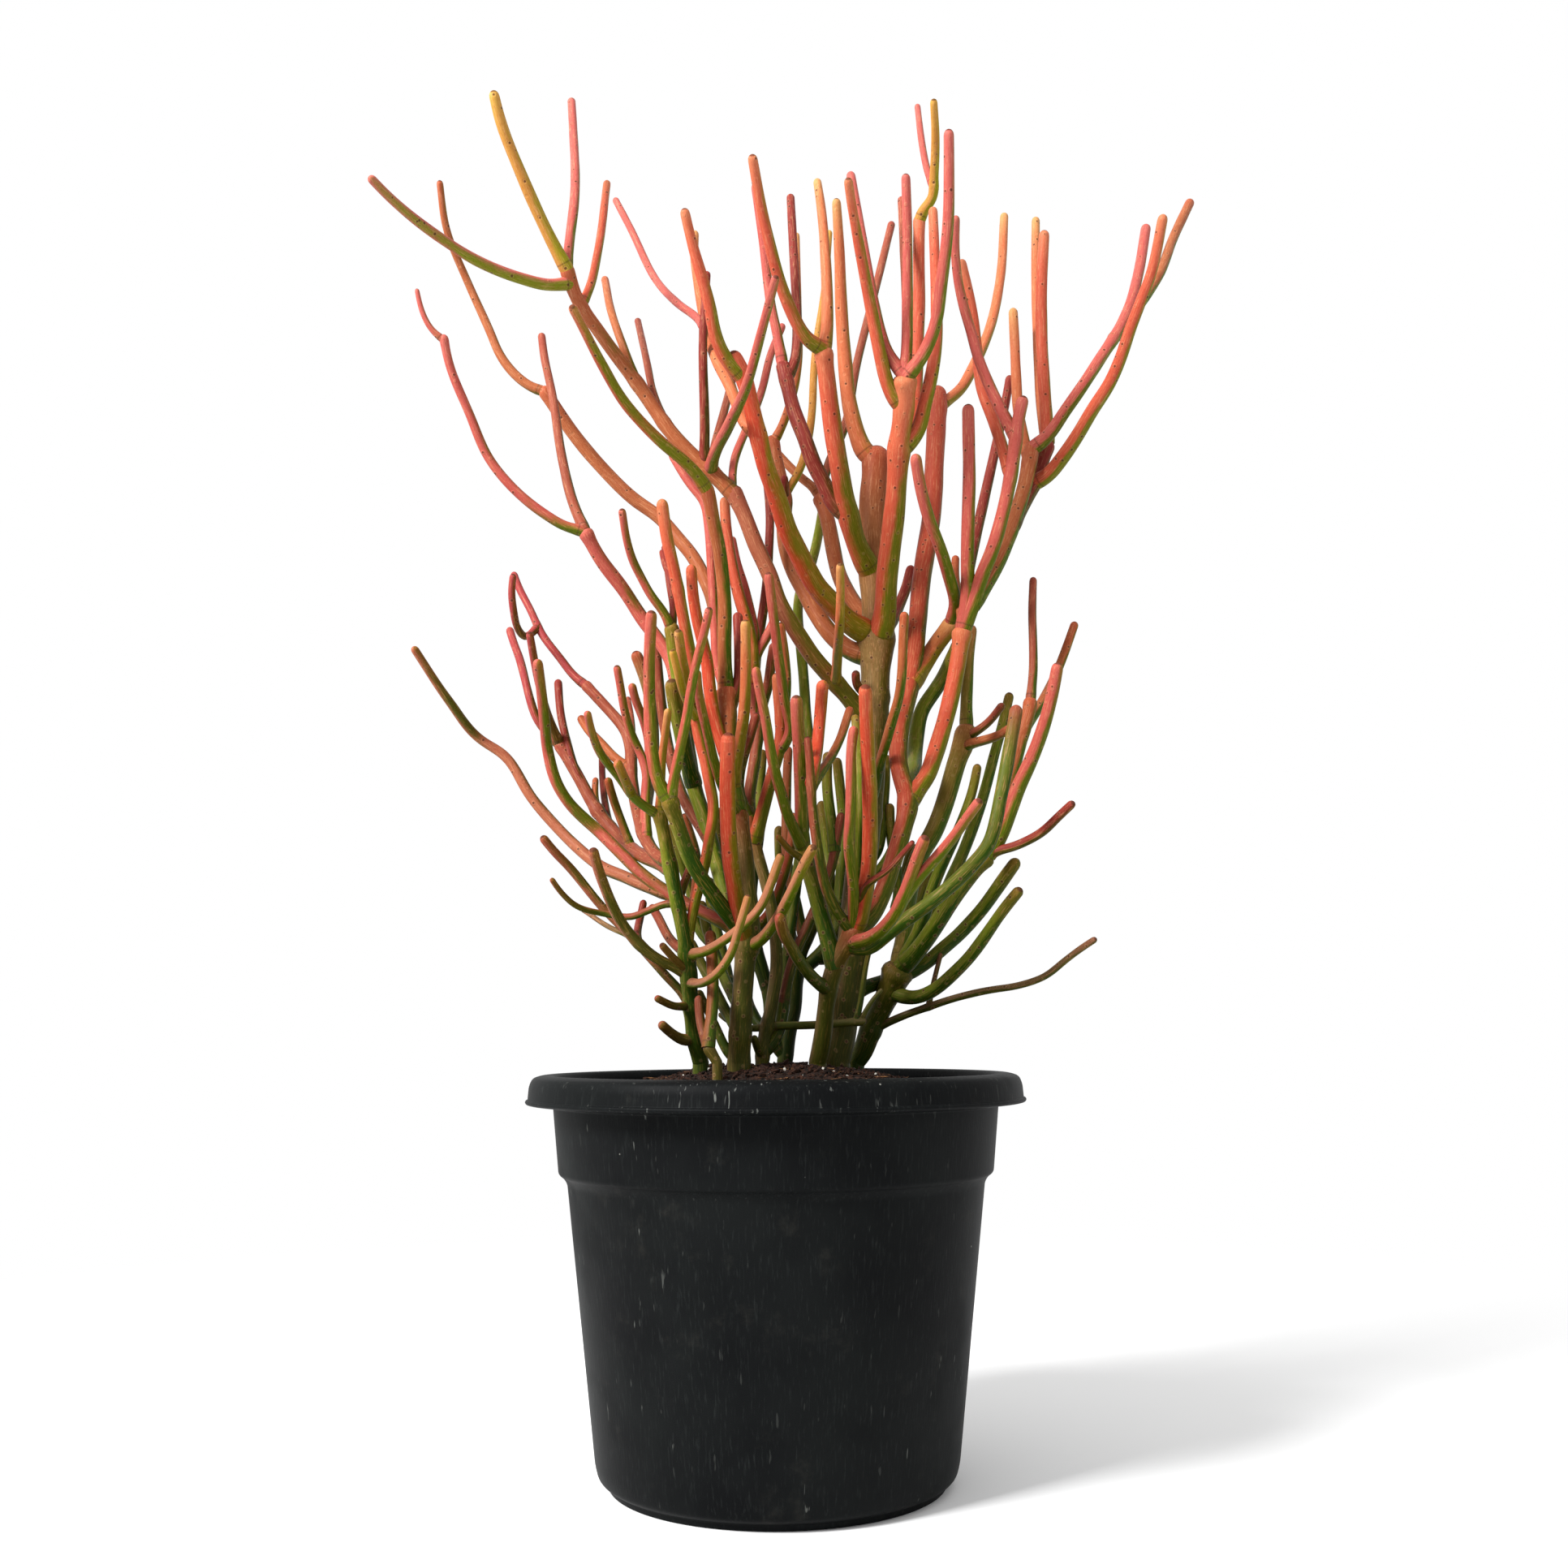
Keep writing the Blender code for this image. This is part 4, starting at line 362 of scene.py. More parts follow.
MIDDLE = (
    ("stem", "", "tan", 8, 7, (-4, 0, -4),
     ((-9, 246), (-8.5, 273), (-3, 300), (1, 330), (0, 350), (-4, 375), (-9, 395), (-14, 413), (-18, 432))),
    ("k6", "stem", "coral", 8.5, 6.5, (-16, -22),
     ((-14, 412), (-9.5, 428), (-5.5, 443), (-1.5, 458), (3, 475), (5, 488), (4.5, 500), (3, 515),
      (2, 530))),
    ("p1", "k6", "rose", 6.5, 6, (-34, -52),
     ((3, 474), (9, 482), (11.5, 490), (9.5, 500), (7.5, 510), (5.5, 525), (3.5, 540), (1.5, 557),
      (-0.5, 575), (-3.5, 602))),
    ("p2", "k6", "olive", 6, 5.5, (-18, -26),
     ((4.5, 496), (8, 508), (9.2, 522), (8.5, 536), (7, 550), (4.5, 566))),
    ("k4", "stem", "dusky", 8, 6, (10, 12, -8),
     ((-17.5, 427), (-17, 445), (-14.5, 460), (-12, 478), (-10, 492), (-8, 507), (-4, 520), (-2, 535),
      (0.5, 551))),
    ("k7", "stem", "dusky", 6.5, 6, (-8, -12),
     ((-18, 430), (-24, 446), (-23.5, 460), (-19.5, 476), (-15, 490), (-12, 502))),
    ("k2", "k4", "rose", 6.5, 6, (14, 16),
     ((-11, 486), (-14, 510), (-14, 530), (-11, 545), (-6, 553), (-1, 563), (3, 572))),
    ("rl", "k2", "rose", 6, 5, (20, 26),
     ((-14, 518), (-12, 545), (-12.5, 558), (-16, 575), (-20, 592), (-25, 608), (-29, 628))),
    ("c", "k2", "coral", 8.5, 6.5, (12, 16),
     ((-14, 522), (-15, 550), (-19, 568), (-24, 585), (-28, 603), (-31, 620), (-33.3, 640), (-34, 657))),
    ("dr", "k2", "maroon", 6.5, 5.5, (30, 34, 38),
     ((-14, 514), (-11, 548), (-8.5, 565), (-6, 582), (-4, 600), (-2.8, 620), (-2, 640), (-3, 660),
      (-6, 684))),
    ("g1", "stem", "green", 7.5, 6, (16, 26, 44, 78),
     ((-8.3, 270), (-2, 276), (2.5, 285), (5, 300), (9, 340), (14, 380), (20, 420), (23.5, 450), (24, 480),
      (22, 505), (20.5, 530), (18, 558), (17, 575), (19, 589), (26, 605), (30, 620), (33, 635), (36, 652))),
    ("g3", "stem", "dry", 5.5, 4.5, (-16,),
     ((-8.4, 268), (-12, 273), (-14.5, 281))),
    ("cut twig", "stem", "dry", 5, 5, (2,),
     ((-6, 288), (6, 288), (30, 288.5), (50, 290), (61, 291))),
    ("snag a", "cut twig", "dry", 3.5, 2.5, (0,),
     ((57, 290.5), (62, 300), (66, 306), (72, 312))),
    ("snag b", "cut twig", "green", 4, 3, (0,),
     ((54, 290), (57, 302), (59.5, 318), (62, 332), (66, 345))),
    ("g1a", "g1", "dusky", 7, 5.5, (12, 8),
     ((5, 300), (10, 325), (16, 342), (21, 352), (27, 366), (33, 378), (38, 392), (41, 405), (46, 432))),
    ("g1b", "g1a", "green", 7, 6.5, (10, 12),
     ((41, 405), (39, 425), (37, 440), (36, 455), (37, 474))),
    ("cut twig 2", "stem", "dry", 4.5, 3.5, (0,),
     ((-6, 288), (-14, 286), (-28, 289), (-38, 296.5))),
)
FRONT = (
    ("stem", "", "tan", 11, 10, (-8, -22, -34),
     ((28, 246), (29, 262), (31.5, 280), (34, 300), (36.5, 315), (44, 335), (51, 345), (57, 356))),
    ("fa", "stem", "flame", 10, 9, (-62, -95),
     ((56, 352), (58, 362), (61, 375), (64, 395), (65.3, 420), (65.3, 450), (64.5, 480), (63.3, 521))),
    ("fb", "stem", "rose", 7, 6.5, (-66, -80),
     ((53, 350), (53, 365), (53.5, 380), (52, 395), (50.5, 412), (52, 430), (52.6, 450), (53.5, 480),
      (55.5, 492))),
    ("fc", "stem", "rose", 8.5, 7.5, (-74, -100),
     ((52, 342), (60, 345), (70, 350), (78, 358), (84, 367), (88, 376), (92, 386), (97, 400), (103, 415))),
    ("fd", "fc", "rose", 7.5, 6.5, (-96, -120),
     ((86, 371), (91, 378), (98, 387), (106, 396), (116, 407), (124, 417), (132, 428), (141, 440))),
    ("fe", "stem", "maroon", 4.5, 3.5, (-52, -60),
     ((58, 358), (63, 383), (69, 387), (77, 392), (86, 402), (95, 412))),
    ("side", "stem", "dusky", 8, 7, (-45, -70),
     ((33, 312), (27, 318), (20, 326), (10, 342), (5, 352), (3, 362))),
    ("g2", "stem", "green", 11, 9, (-30, -34),
     ((41, 326), (36, 345), (30.5, 365), (25.5, 385), (21, 400), (18.5, 412))),
    ("h1", "g2", "rose", 8.5, 8, (-45, -60),
     ((19, 406), (18.5, 425), (18.3, 450), (17.5, 475), (16, 500), (15.5, 514))),
    ("k1", "g2", "rose", 7.5, 6, (-64, -85),
     ((19, 405), (14.5, 418), (9, 430), (6, 441), (2, 455), (-1, 468), (-3.5, 482), (-5.5, 496), (-8, 509),
      (-10.5, 521), (-12.5, 534))),
    ("h2", "stem", "dusky", 7.5, 5, (-58, -66),
     ((54, 350), (46, 358), (39, 370), (34, 383), (31.5, 395), (29, 410), (27, 425), (25.5, 445),
      (24.6, 465), (23, 485))),
    ("h3", "h2", "flame", 7, 8, (-30, -45),
     ((27, 452), (28, 465), (30, 480), (32, 500), (34, 524))),
    ("h5", "h2", "olive", 6, 5.5, (-22, -8),
     ((26.5, 448), (33, 461), (40, 472), (46, 484), (50, 496), (53, 505))),
    ("rp", "stem", "rust", 11, 12.5, (-14, 20, 48, 66),
     ((56, 351), (66, 362), (73, 376), (80, 396), (87, 418), (91.5, 440), (87.5, 455), (85.2, 468),
      (86, 482), (89.5, 500), (94, 520), (97.5, 540), (100.5, 565), (103, 590), (107, 615), (111.5, 640),
      (114.5, 680), (117, 715), (118, 738))),
    ("rk", "rp", "peach", 7.5, 5.5, (95, 120),
     ((119, 722), (125, 728), (132.7, 734), (144.4, 754), (156.5, 782), (165, 820), (169.3, 870))),
    ("rt", "rp", "peach", 12, 11, (30, 14),
     ((95, 520), (103, 533), (111, 546), (119, 557), (128, 568))),
    ("rt1", "rt", "rose", 8, 7.5, (-22, -44),
     ((124, 562), (127, 578), (122.5, 600), (117, 620), (110, 640), (105, 660), (101, 688))),
    ("rs", "rp", "coral", 11, 10.5, (4, 4),
     ((90, 436), (97, 446), (104.5, 456), (110, 470), (114, 482), (119.5, 500), (124.5, 520), (128.5, 540),
      (132, 562))),
    ("ru", "rp", "green", 11, 8, (42, 44, 20),
     ((91, 437), (95, 458), (97, 475), (99, 490), (102, 503), (109, 513), (117, 525), (124, 540),
      (130, 552))),
    ("rs1", "rs", "olive", 5.5, 5, (18,),
     ((131, 560), (129.5, 580), (127.5, 600), (128, 613))),
    ("rs2", "rs", "rose", 9, 8, (-10, -20),
     ((131.5, 558), (134, 572), (136, 590), (136.3, 610), (137.5, 640), (139, 670), (139.3, 700),
      (139.5, 725))),
    ("ro1", "rs", "rose", 9.5, 8, (-8, -16, -30),
     ((132, 558), (138, 575), (146, 598), (155, 620), (161, 640), (166, 660), (170, 680), (173, 700),
      (176, 718), (179.5, 731))),
    ("ro2", "ro1", "olive", 10, 9.5, (16, 22),
     ((139, 577), (152, 598), (163, 620), (170, 640), (177, 660), (181.5, 680), (184.5, 696))),
    ("ro3", "ro2", "maroon", 9.5, 9, (30, 28),
     ((167, 632), (178, 653), (186, 668), (191, 682), (196, 698))),
    ("s1", "ro2", "rose", 8.5, 6.5, (5, 20, 50),
     ((183, 691), (193, 698), (209, 720), (223, 740), (236, 760), (249, 780), (257, 797), (264, 820),
      (272, 860))),
    ("s2", "ro3", "coral", 9.5, 6.5, (-6, -30, -50),
     ((184, 666), (196, 673), (205, 684), (216, 700), (228, 720), (241, 740), (250, 760), (257, 780),
      (265, 800), (273, 820), (285, 869))),
    ("s3", "s1", "olive", 7.5, 6, (40, 80),
     ((245, 773), (253, 783), (262, 796), (271, 808), (279, 821), (291, 850), (305, 879))),
    ("s4", "ro3", "coral", 8.5, 7, (34, 28),
     ((196, 695), (195, 715), (194, 740), (193.5, 780), (195, 820), (198, 857))),
    ("s5", "ro3", "peach", 6.5, 5.5, (50, 62),
     ((193, 692), (191.5, 720), (190.5, 760), (190.5, 820), (192, 867))),
    ("s6", "ro2", "peach", 7.5, 6, (34, 40),
     ((181, 682), (178, 700), (175, 720), (174.3, 745), (174, 770), (173.5, 797))),
    ("j1", "ro1", "rose", 8, 5.5, (-24, -50),
     ((173, 699), (169, 708), (163, 720), (154.5, 740), (147.5, 760), (142.8, 780), (137.8, 800),
      (134.3, 820), (133, 840), (134.1, 869))),
    ("j2", "ro1", "coral", 8, 6, (0, -10),
     ((168, 672), (165, 684), (161.5, 698), (155.3, 718), (148.9, 738), (147, 765), (145, 790), (141, 815),
      (137, 835))),
    ("rx", "stem", "fern", 9, 8.5, (-50, -46, -40),
     ((49, 342), (62, 339), (75, 348), (88, 358), (100, 366), (112, 375), (125, 386), (136, 397),
      (146, 409), (151, 424), (155, 442), (159, 460), (163, 480), (166, 495), (168, 506))),
    ("ru1", "ru", "maroon", 8, 5.5, (40, 50),
     ((129, 550), (131.5, 570), (134.5, 590), (139, 612), (145, 637), (151, 662), (157, 687), (162, 708),
      (167, 730), (170, 746))),
    ("fg", "stem", "green", 7, 5.5, (-50, -40),
     ((57, 362), (58, 385), (58, 405), (58.5, 430), (58.5, 455), (57.5, 480), (56, 500))),
    ("g stub", "g2", "olive", 4.5, 4, (-50,),
     ((19, 398), (12, 404.5), (6, 411), (2, 416))),
)
RIGHT = (
    ("stem", "", "green", 12, 15, (34, 30, 20),
     ((53, 246), (57, 268), (62, 281), (70, 297), (78, 313), (85, 330))),
    ("ra", "stem", "green", 8.5, 7, (-10, -40),
     ((80, 309), (90, 306), (98, 307), (108, 312), (120, 322), (132, 334), (142, 347), (152, 361),
      (160, 371), (167, 379))),
    ("rb", "stem", "green", 8.5, 8, (26, 0),
     ((83, 319), (93, 324), (103, 330), (112, 338), (122, 346), (132, 356), (141, 366), (150, 378),
      (158, 389), (165.5, 399))),
    ("rv", "stem", "green", 11, 10, (0, -8),
     ((84, 324), (93, 334), (102, 345), (111, 358), (121, 373), (131, 386), (140, 397), (147, 404))),
    ("rv1", "rv", "maroon", 6, 5.5, (-20, -40),
     ((143, 401), (152, 405), (161, 407), (171, 411), (182, 417), (194, 428), (205, 438))),
    ("rv2", "rv", "olive", 9.5, 8, (6, 8),
     ((144, 400), (150, 412), (155, 430), (161, 450), (166, 468), (171, 485), (176.5, 503), (178, 512))),
    ("rv3", "rv2", "dusky", 6, 4.8, (10, 20),
     ((178, 508), (180, 530), (180.5, 550), (180.5, 570), (182, 597))),
    ("rv4", "rv2", "olive", 6.5, 5.5, (30, 30),
     ((173, 488), (179, 498), (187, 511), (194, 524), (201, 540), (206, 553), (210.5, 565))),
    ("rz", "rv", "rose", 10, 7.5, (-20, -34),
     ((145, 402), (154, 415), (161, 432), (168, 450), (174, 462), (182, 480), (188, 497), (193, 515),
      (197.5, 536))),
    ("rq", "stem", "lime", 11, 12, (40, 44, 40),
     ((86, 326), (88, 350), (90, 372), (94, 390), (99, 403), (107, 415), (113, 428), (118, 442),
      (122, 455), (126, 468), (131, 481), (134, 494))),
    ("rq1", "rq", "lime", 8, 6.5, (44, 46),
     ((134, 488), (133, 505), (134.3, 525), (136, 545), (138.5, 563))),
    ("rq2", "rq", "dusky", 5.5, 5, (30, 20),
     ((132, 483), (140, 488), (148, 494), (158.5, 507))),
    ("rq3", "rq", "olive", 6.5, 5.5, (26, 14),
     ((129, 477), (139, 480), (150, 483), (159, 487), (164, 491))),
    ("rw", "stem", "green", 9, 5.5, (12, 4, 0),
     ((85, 325), (95, 346), (102, 364), (108, 382), (114, 396), (122, 412), (130, 430), (136, 447),
      (140, 465))),
    ("rf", "stem", "grey", 5, 4, (10, -30),
     ((67, 283), (76, 290), (88, 295), (100, 299), (115, 304), (130, 308), (145, 311), (160, 313),
      (172, 316), (182, 320), (195, 330), (206, 338), (217, 345))),
    ("rf1", "rf", "grey", 3.5, 3, (22,),
     ((103, 299), (104.5, 308), (108, 322), (112, 336))),
)
BACK = (
    ("stem", "", "green", 9, 8.5, (40, 42, 44),
     ((6, 246), (7, 270), (9, 284), (13, 300), (14, 322), (18, 340), (25, 354), (31, 368))),
    ("b1", "stem", "green", 8, 6, (44, 48, 50),
     ((7, 268), (0, 276), (-3.5, 290), (-4, 306), (-8, 324), (-13, 342), (-16, 365), (-15, 385),
      (-12, 405), (-9.5, 425), (-10.5, 442), (-9, 460), (-8, 476))),
    ("b2", "stem", "green", 8, 6, (44, 50, 56),
     ((14, 322), (28, 333), (42, 352), (52, 372), (60, 395), (66, 418), (70, 440), (73, 465))),
    ("b3", "stem", "olive", 7, 5.5, (52, 56),
     ((20, 345), (17, 357), (15, 368), (11, 384), (8, 404), (8, 425), (8.5, 445), (9, 462), (10, 478))),
    ("b5", "b1", "green", 7, 5.5, (48, 54),
     ((-13, 345), (-22, 356), (-30, 372), (-37, 392), (-39, 412), (-39, 436))),
    ("b6", "b2", "green", 7, 5.5, (52, 60),
     ((52, 372), (64, 384), (76, 398), (84, 415), (90, 436), (94, 455))),
    ("b7", "b1", "coral", 6.5, 5.5, (36, 34),
     ((-14, 352), (-3, 364), (4, 382), (9, 398), (12, 415), (13, 432))),
    ("b8", "b1", "green", 7, 6, (44, 46),
     ((-5, 310), (-9, 322), (-15, 336), (-20, 352), (-24, 370))),
    ("b9", "b2", "green", 8, 6, (52, 56, 56),
     ((28, 333), (45, 334), (60, 337), (72, 345), (80, 358), (84, 375), (82, 398), (79, 420), (79, 438))),
    ("b11", "stem", "green", 8, 6, (60, 62),
     ((15, 326), (12, 342), (8, 360), (5, 382), (3.5, 402), (3, 423))),
    ("b12", "b2", "green", 8, 6, (60, 60),
     ((42, 352), (44, 375), (46, 400), (47, 425), (45, 450), (43, 470))),
    ("b14", "b1", "green", 7, 6, (50, 54),
     ((-2, 282), (-8, 286), (-14, 293), (-18.5, 304), (-20, 320), (-21, 338))),
    ("b15", "b14", "green", 7, 5.5, (60, 66, 66),
     ((-16, 296), (-23, 300), (-30, 310), (-32, 324), (-36, 338), (-39, 352), (-44, 370), (-44, 388))),
    ("b16", "b15", "green", 7, 5.5, (70, 70),
     ((-36, 340), (-44, 344), (-51, 352), (-55, 366), (-58, 382), (-63, 396), (-67, 412), (-71, 425))),
    ("b17", "b16", "olive", 6.5, 5.5, (60, 56),
     ((-55, 367), (-53, 386), (-53, 402), (-57, 416), (-62, 432))),
    ("b18", "b2", "green", 7, 6, (60, 64),
     ((40, 349), (37, 364), (38, 384), (36, 402), (34, 420), (32, 440))),
    ("b19", "b2", "green", 6.5, 5, (58, 60),
     ((60, 395), (69, 402), (73, 416), (75, 436), (77, 456), (77, 472))),
    ("b21", "b9", "green", 7, 6, (60, 64),
     ((82, 366), (87, 382), (90, 396), (95, 410))),
    ("b22", "b9", "green", 7, 6, (60, 60),
     ((76, 351), (87, 357), (96, 367), (101, 380), (106, 393))),
)

CANES = {
    "trunk_cane": TRUNK,
    "left_cane": LEFT,
    "tan_cane": TAN,
    "small_cane": SMALL,
    "middle_cane": MIDDLE,
    "front_cane": FRONT,
    "right_cane": RIGHT,
    "back_cane": BACK,
}


def linear(red, green, blue):
    """Turn a colour written as screen bytes into Blender's linear colour."""
    parts = [part / 255.0 for part in (red, green, blue)]
    return tuple(p / 12.92 if p <= 0.04045 else ((p + 0.055) / 1.055) ** 2.4 for p in parts)


# Each tint as it looks in the light: the side toward the sun, the shaded side and the young end
TINTS = {
    "coral": ((232, 106, 78), (140, 142, 28), (244, 146, 104)),
    "rose": ((222, 108, 98), (118, 134, 28), (230, 120, 110)),
    "maroon": ((162, 68, 60), (96, 90, 32), (170, 68, 62)),
    "yellow": ((226, 160, 76), (176, 172, 32), (246, 190, 88)),
    "peach": ((238, 134, 90), (162, 146, 40), (248, 186, 118)),
    "blush": ((222, 150, 118), (122, 148, 32), (208, 148, 92)),
    "salmon": ((208, 128, 98), (116, 110, 56), (204, 118, 92)),
    "olive": ((200, 116, 74), (90, 124, 20), (212, 110, 76)),
    "dusky": ((182, 98, 76), (92, 108, 32), (188, 92, 76)),
    "green": ((142, 160, 44), (62, 102, 18), (160, 128, 52)),
    "grey": ((150, 122, 84), (92, 102, 44), (158, 106, 84)),
    "dry": ((164, 168, 100), (104, 114, 50), (170, 160, 110)),
    "cherry": ((194, 82, 88), (124, 88, 42), (200, 88, 92)),
    "rust": ((206, 92, 68), (106, 116, 28), (208, 96, 74)),
    "flame": ((236, 92, 64), (158, 140, 28), (242, 118, 88)),
    "limb": ((188, 112, 84), (132, 122, 46), (196, 112, 88)),
    "pink": ((226, 118, 106), (150, 158, 40), (228, 126, 112)),
    "lime": ((160, 142, 62), (92, 124, 22), (196, 128, 80)),
    "fern": ((112, 128, 44), (64, 98, 20), (186, 90, 78)),
    "tan": ((160, 136, 82), (106, 108, 48), (196, 92, 64)),
}
TINT_GAIN = 0.54
SUN_SIDE = Vector((-0.74, -0.28, 0.61)).normalized()

# How much fuller than the solids the shoots are, and how finely their lines run
FULLNESS = 1.1
LINE_STEP = 3.0
LEAST_STEP = 0.4
RELAX_PASSES = 5
COLLAR_RINGS = (0.0, 0.8, 1.6, 2.6, 3.8)

# The round tip: its rings' turns in degrees, its length in radii and its pole's lift in radii
TIP_TURNS = (0.0, 22.0, 42.0, 60.0, 75.0)
TIP_LENGTH = 1.15
POLE_LIFT = 0.2

# The young end's length in millimetres, or its share of a shoot whose tip is thick
TIP_FADE = 44.0
THICK = 12.0
THICK_FADE = 0.45

# Where a shoot's foot and a joint swell, in widths of the shoot, and how the girth wavers
FOOT_REACH = 0.9
KNOB_REACH = 0.8
WAVER_LENGTH = 22.0
WAVER_SHIFT = 7.3

# Shoots catch more light the higher they stand, in millimetres, up to a limit
HALF_LIT_LEVEL = 560.0
LIT_SPAN = 600.0
MOST_EXPOSED = 0.3
# Tints of shoots that stand out in the light, and the least light they get low down
LEAST_EXPOSED = {"salmon": -0.1, "blush": -0.3, "dusky": -0.25, "flame": 0.2}
LIT_ALONG = 0.6

# The share of shoots with a dry cap, how far the others' tips reach toward one, and its length
CAPPED_SHARE = 0.35
UNCAPPED = 0.8
CAP_REACH = 1.6
# The stretch of marking, in millimetres, kept for each shoot so that no two look alike
MARKING_SHIFT = 400.0


class Station:
    """One ring of a shoot: its centre and radius in millimetres, and its distance along."""

    def __init__(self, centre, radius, run):
        self.centre = centre
        self.radius = radius
        self.run = run


class Shoot:
    """One traced shoot of a cane."""

    def __init__(self, row, index):
        self.name, self.parent, self.tint, self.foot, self.tip, self.depths, self.line = row
        self.index = index
        self.readings = []
        self.stations = []
        self.buried = 0.0
        self.length = 0.0
        self.young_length = TIP_FADE
        self.wear = 1.0


def place(across, up, depth):
    """Carry a front reading back or forward along the line of sight to its depth."""
    share = (VIEW_DISTANCE + depth) / VIEW_DISTANCE
    x = VIEW_ACROSS + (across - VIEW_ACROSS) * share
    z = VIEW_UP + (up - VIEW_UP) * share
    return Vector((x, depth, z))


def shares_along(line):
    """Return each reading's share of the line's length."""
    steps = [math.dist(a, b) for a, b in zip(line, line[1:])]
    total = sum(steps)
    shares = [0.0]
    for step in steps:
        shares.append(shares[-1] + step / total)
    return shares


def between(values, share):
    """Read a row of evenly spaced values at a share of its length."""
    position = share * (len(values) - 1)
    index = min(int(position), len(values) - 2)
    part = position - index
    return values[index] * (1.0 - part) + values[index + 1] * part


def nearest_spot(reading, parent):
    """Find the point of the parent's readings nearest to one: (across, up, depth)."""
    best = None
    for start, end in zip(parent, parent[1:]):
        a = Vector(start[:2])
        run = Vector(end[:2]) - a
        share = max(0.0, min(1.0, (Vector(reading) - a).dot(run) / run.length_squared))
        spot = a + run * share
        away = (Vector(reading) - spot).length
        if best is None or away < best[0]:
            best = (away, (spot.x, spot.y, start[2] * (1.0 - share) + end[2] * share))
    return best[1]


def read_shoot(shoot, parent):
    """Give a shoot its readings as (across, up, depth, radius)."""
    line = list(shoot.line)
    depths = tuple(DEPTH_STRETCH * value for value in shoot.depths)
    if parent:
        across, up, depth = nearest_spot(line[0], parent.readings)
        line[0] = (across, up)
        depths = (depth,) + depths
    else:
        line = [(line[0][0], COLLAR_LEVEL)] + [p for p in line[1:] if p[1] > COLLAR_LEVEL]
    for (across, up), share in zip(line, shares_along(line)):
        radius = FULLNESS * (shoot.foot + (shoot.tip - shoot.foot) * share) / 2.0
        shoot.readings.append(Vector((across, up, between(depths, share), radius)))


def smooth_line(points):
    """Carry one smooth line through the readings, then ease what shakes in it."""
    ends = [points[0] * 2.0 - points[1]] + list(points) + [points[-1] * 2.0 - points[-2]]
    line = [points[0].copy()]
    for before, start, end, after in zip(ends, ends[1:], ends[2:], ends[3:]):
        lead = (start - before).length
        gap = (end - start).length
        tail = (after - end).length
        leave = ((start - before) / lead * gap + (end - start) / gap * lead) / (lead + gap) * gap
        arrive = ((end - start) / gap * tail + (after - end) / tail * gap) / (gap + tail) * gap
        steps = max(1, round(gap / LINE_STEP))
        for step in range(1, steps + 1):
            t = step / steps
            line.append(
                start * (2 * t**3 - 3 * t**2 + 1)
                + leave * (t**3 - 2 * t**2 + t)
                + end * (3 * t**2 - 2 * t**3)
                + arrive * (t**3 - t**2)
            )
    for _ in range(RELAX_PASSES):
        eased = [(a + b * 2.0 + c) / 4.0 for a, b, c in zip(line, line[1:], line[2:])]
        line = [line[0]] + eased + [line[-1]]
    return line


def set_stations(shoot, parent):
    """Turn a shoot's smooth line into rings, fine at its foot and round at its tip."""
    line = smooth_line(shoot.readings)
    centres = []
    for across, up, depth, radius in line:
        share = (VIEW_DISTANCE + depth) / VIEW_DISTANCE
        centres.append((place(across, up, depth), radius * share))
    if not parent:
        below = centres[0][0].copy()
        below.z = FOOT_LEVEL
        centres.insert(0, (below, centres[0][1]))
    runs = [0.0]
    for (a, _), (b, _) in zip(centres, centres[1:]):
        runs.append(runs[-1] + (b - a).length)
    shoot.length = runs[-1]
    if shoot.tip > THICK:
        shoot.young_length = THICK_FADE * shoot.length
    capped = noise.cell(Vector((shoot.index, shoot.length, 0.0))) < CAPPED_SHARE
    shoot.wear = 1.0 if capped else UNCAPPED
    shoot.buried = COLLAR_LEVEL - FOOT_LEVEL
    if parent:
        near = min(parent.stations, key=lambda s: (s.centre - centres[0][0]).length_squared)
        shoot.buried = near.radius
    end = runs[-1] - centres[-1][1] * TIP_LENGTH
    fine = [shoot.buried + step for step in COLLAR_RINGS]
    wanted = sorted([run for run in runs if run < end] + [run for run in fine if run < end])
    wanted = [wanted[0]] + [b for a, b in zip(wanted, wanted[1:]) if b - a > LEAST_STEP]
    for run in wanted:
        shoot.stations.append(Station(*at_run(centres, runs, run), run))
    tip, radius = centres[-1]
    start = at_run(centres, runs, end)[0]
    for turn in TIP_TURNS:
        angle = math.radians(turn)
        centre = start.lerp(tip, math.sin(angle))
        run = end + radius * TIP_LENGTH * math.sin(angle)
        shoot.stations.append(Station(centre, radius * math.cos(angle), run))


def at_run(centres, runs, run):
    """Read the centre and radius at a distance along a line."""
    for (a, b), (low, high) in zip(zip(centres, centres[1:]), zip(runs, runs[1:])):
        if run <= high:
            share = (run - low) / (high - low) if high > low else 0.0
            return a[0].lerp(b[0], share), a[1] * (1.0 - share) + b[1] * share
    return centres[-1]


def swell(shoot, settings):
    """Widen a shoot at its foot and let its girth waver a little along the way."""
    for ring in shoot.stations:
        clear = ring.run - shoot.buried
        if shoot.parent:
            share = math.exp(-((clear / (FOOT_REACH * shoot.foot)) ** 2))
            ring.radius *= 1.0 + settings.foot_swell * share
        spot = Vector((ring.run / WAVER_LENGTH, shoot.index * WAVER_SHIFT, 0.0))
        ring.radius *= 1.0 + settings.waver * noise.noise(spot)


def raise_knob(parent, child, settings):
    """Swell the parent where a side shoot leaves it."""
    foot = child.stations[0].centre
    reach = KNOB_REACH * child.foot
    for ring in parent.stations:
        away = (ring.centre - foot).length
        ring.radius *= 1.0 + settings.knob_swell * math.exp(-((away / reach) ** 2))


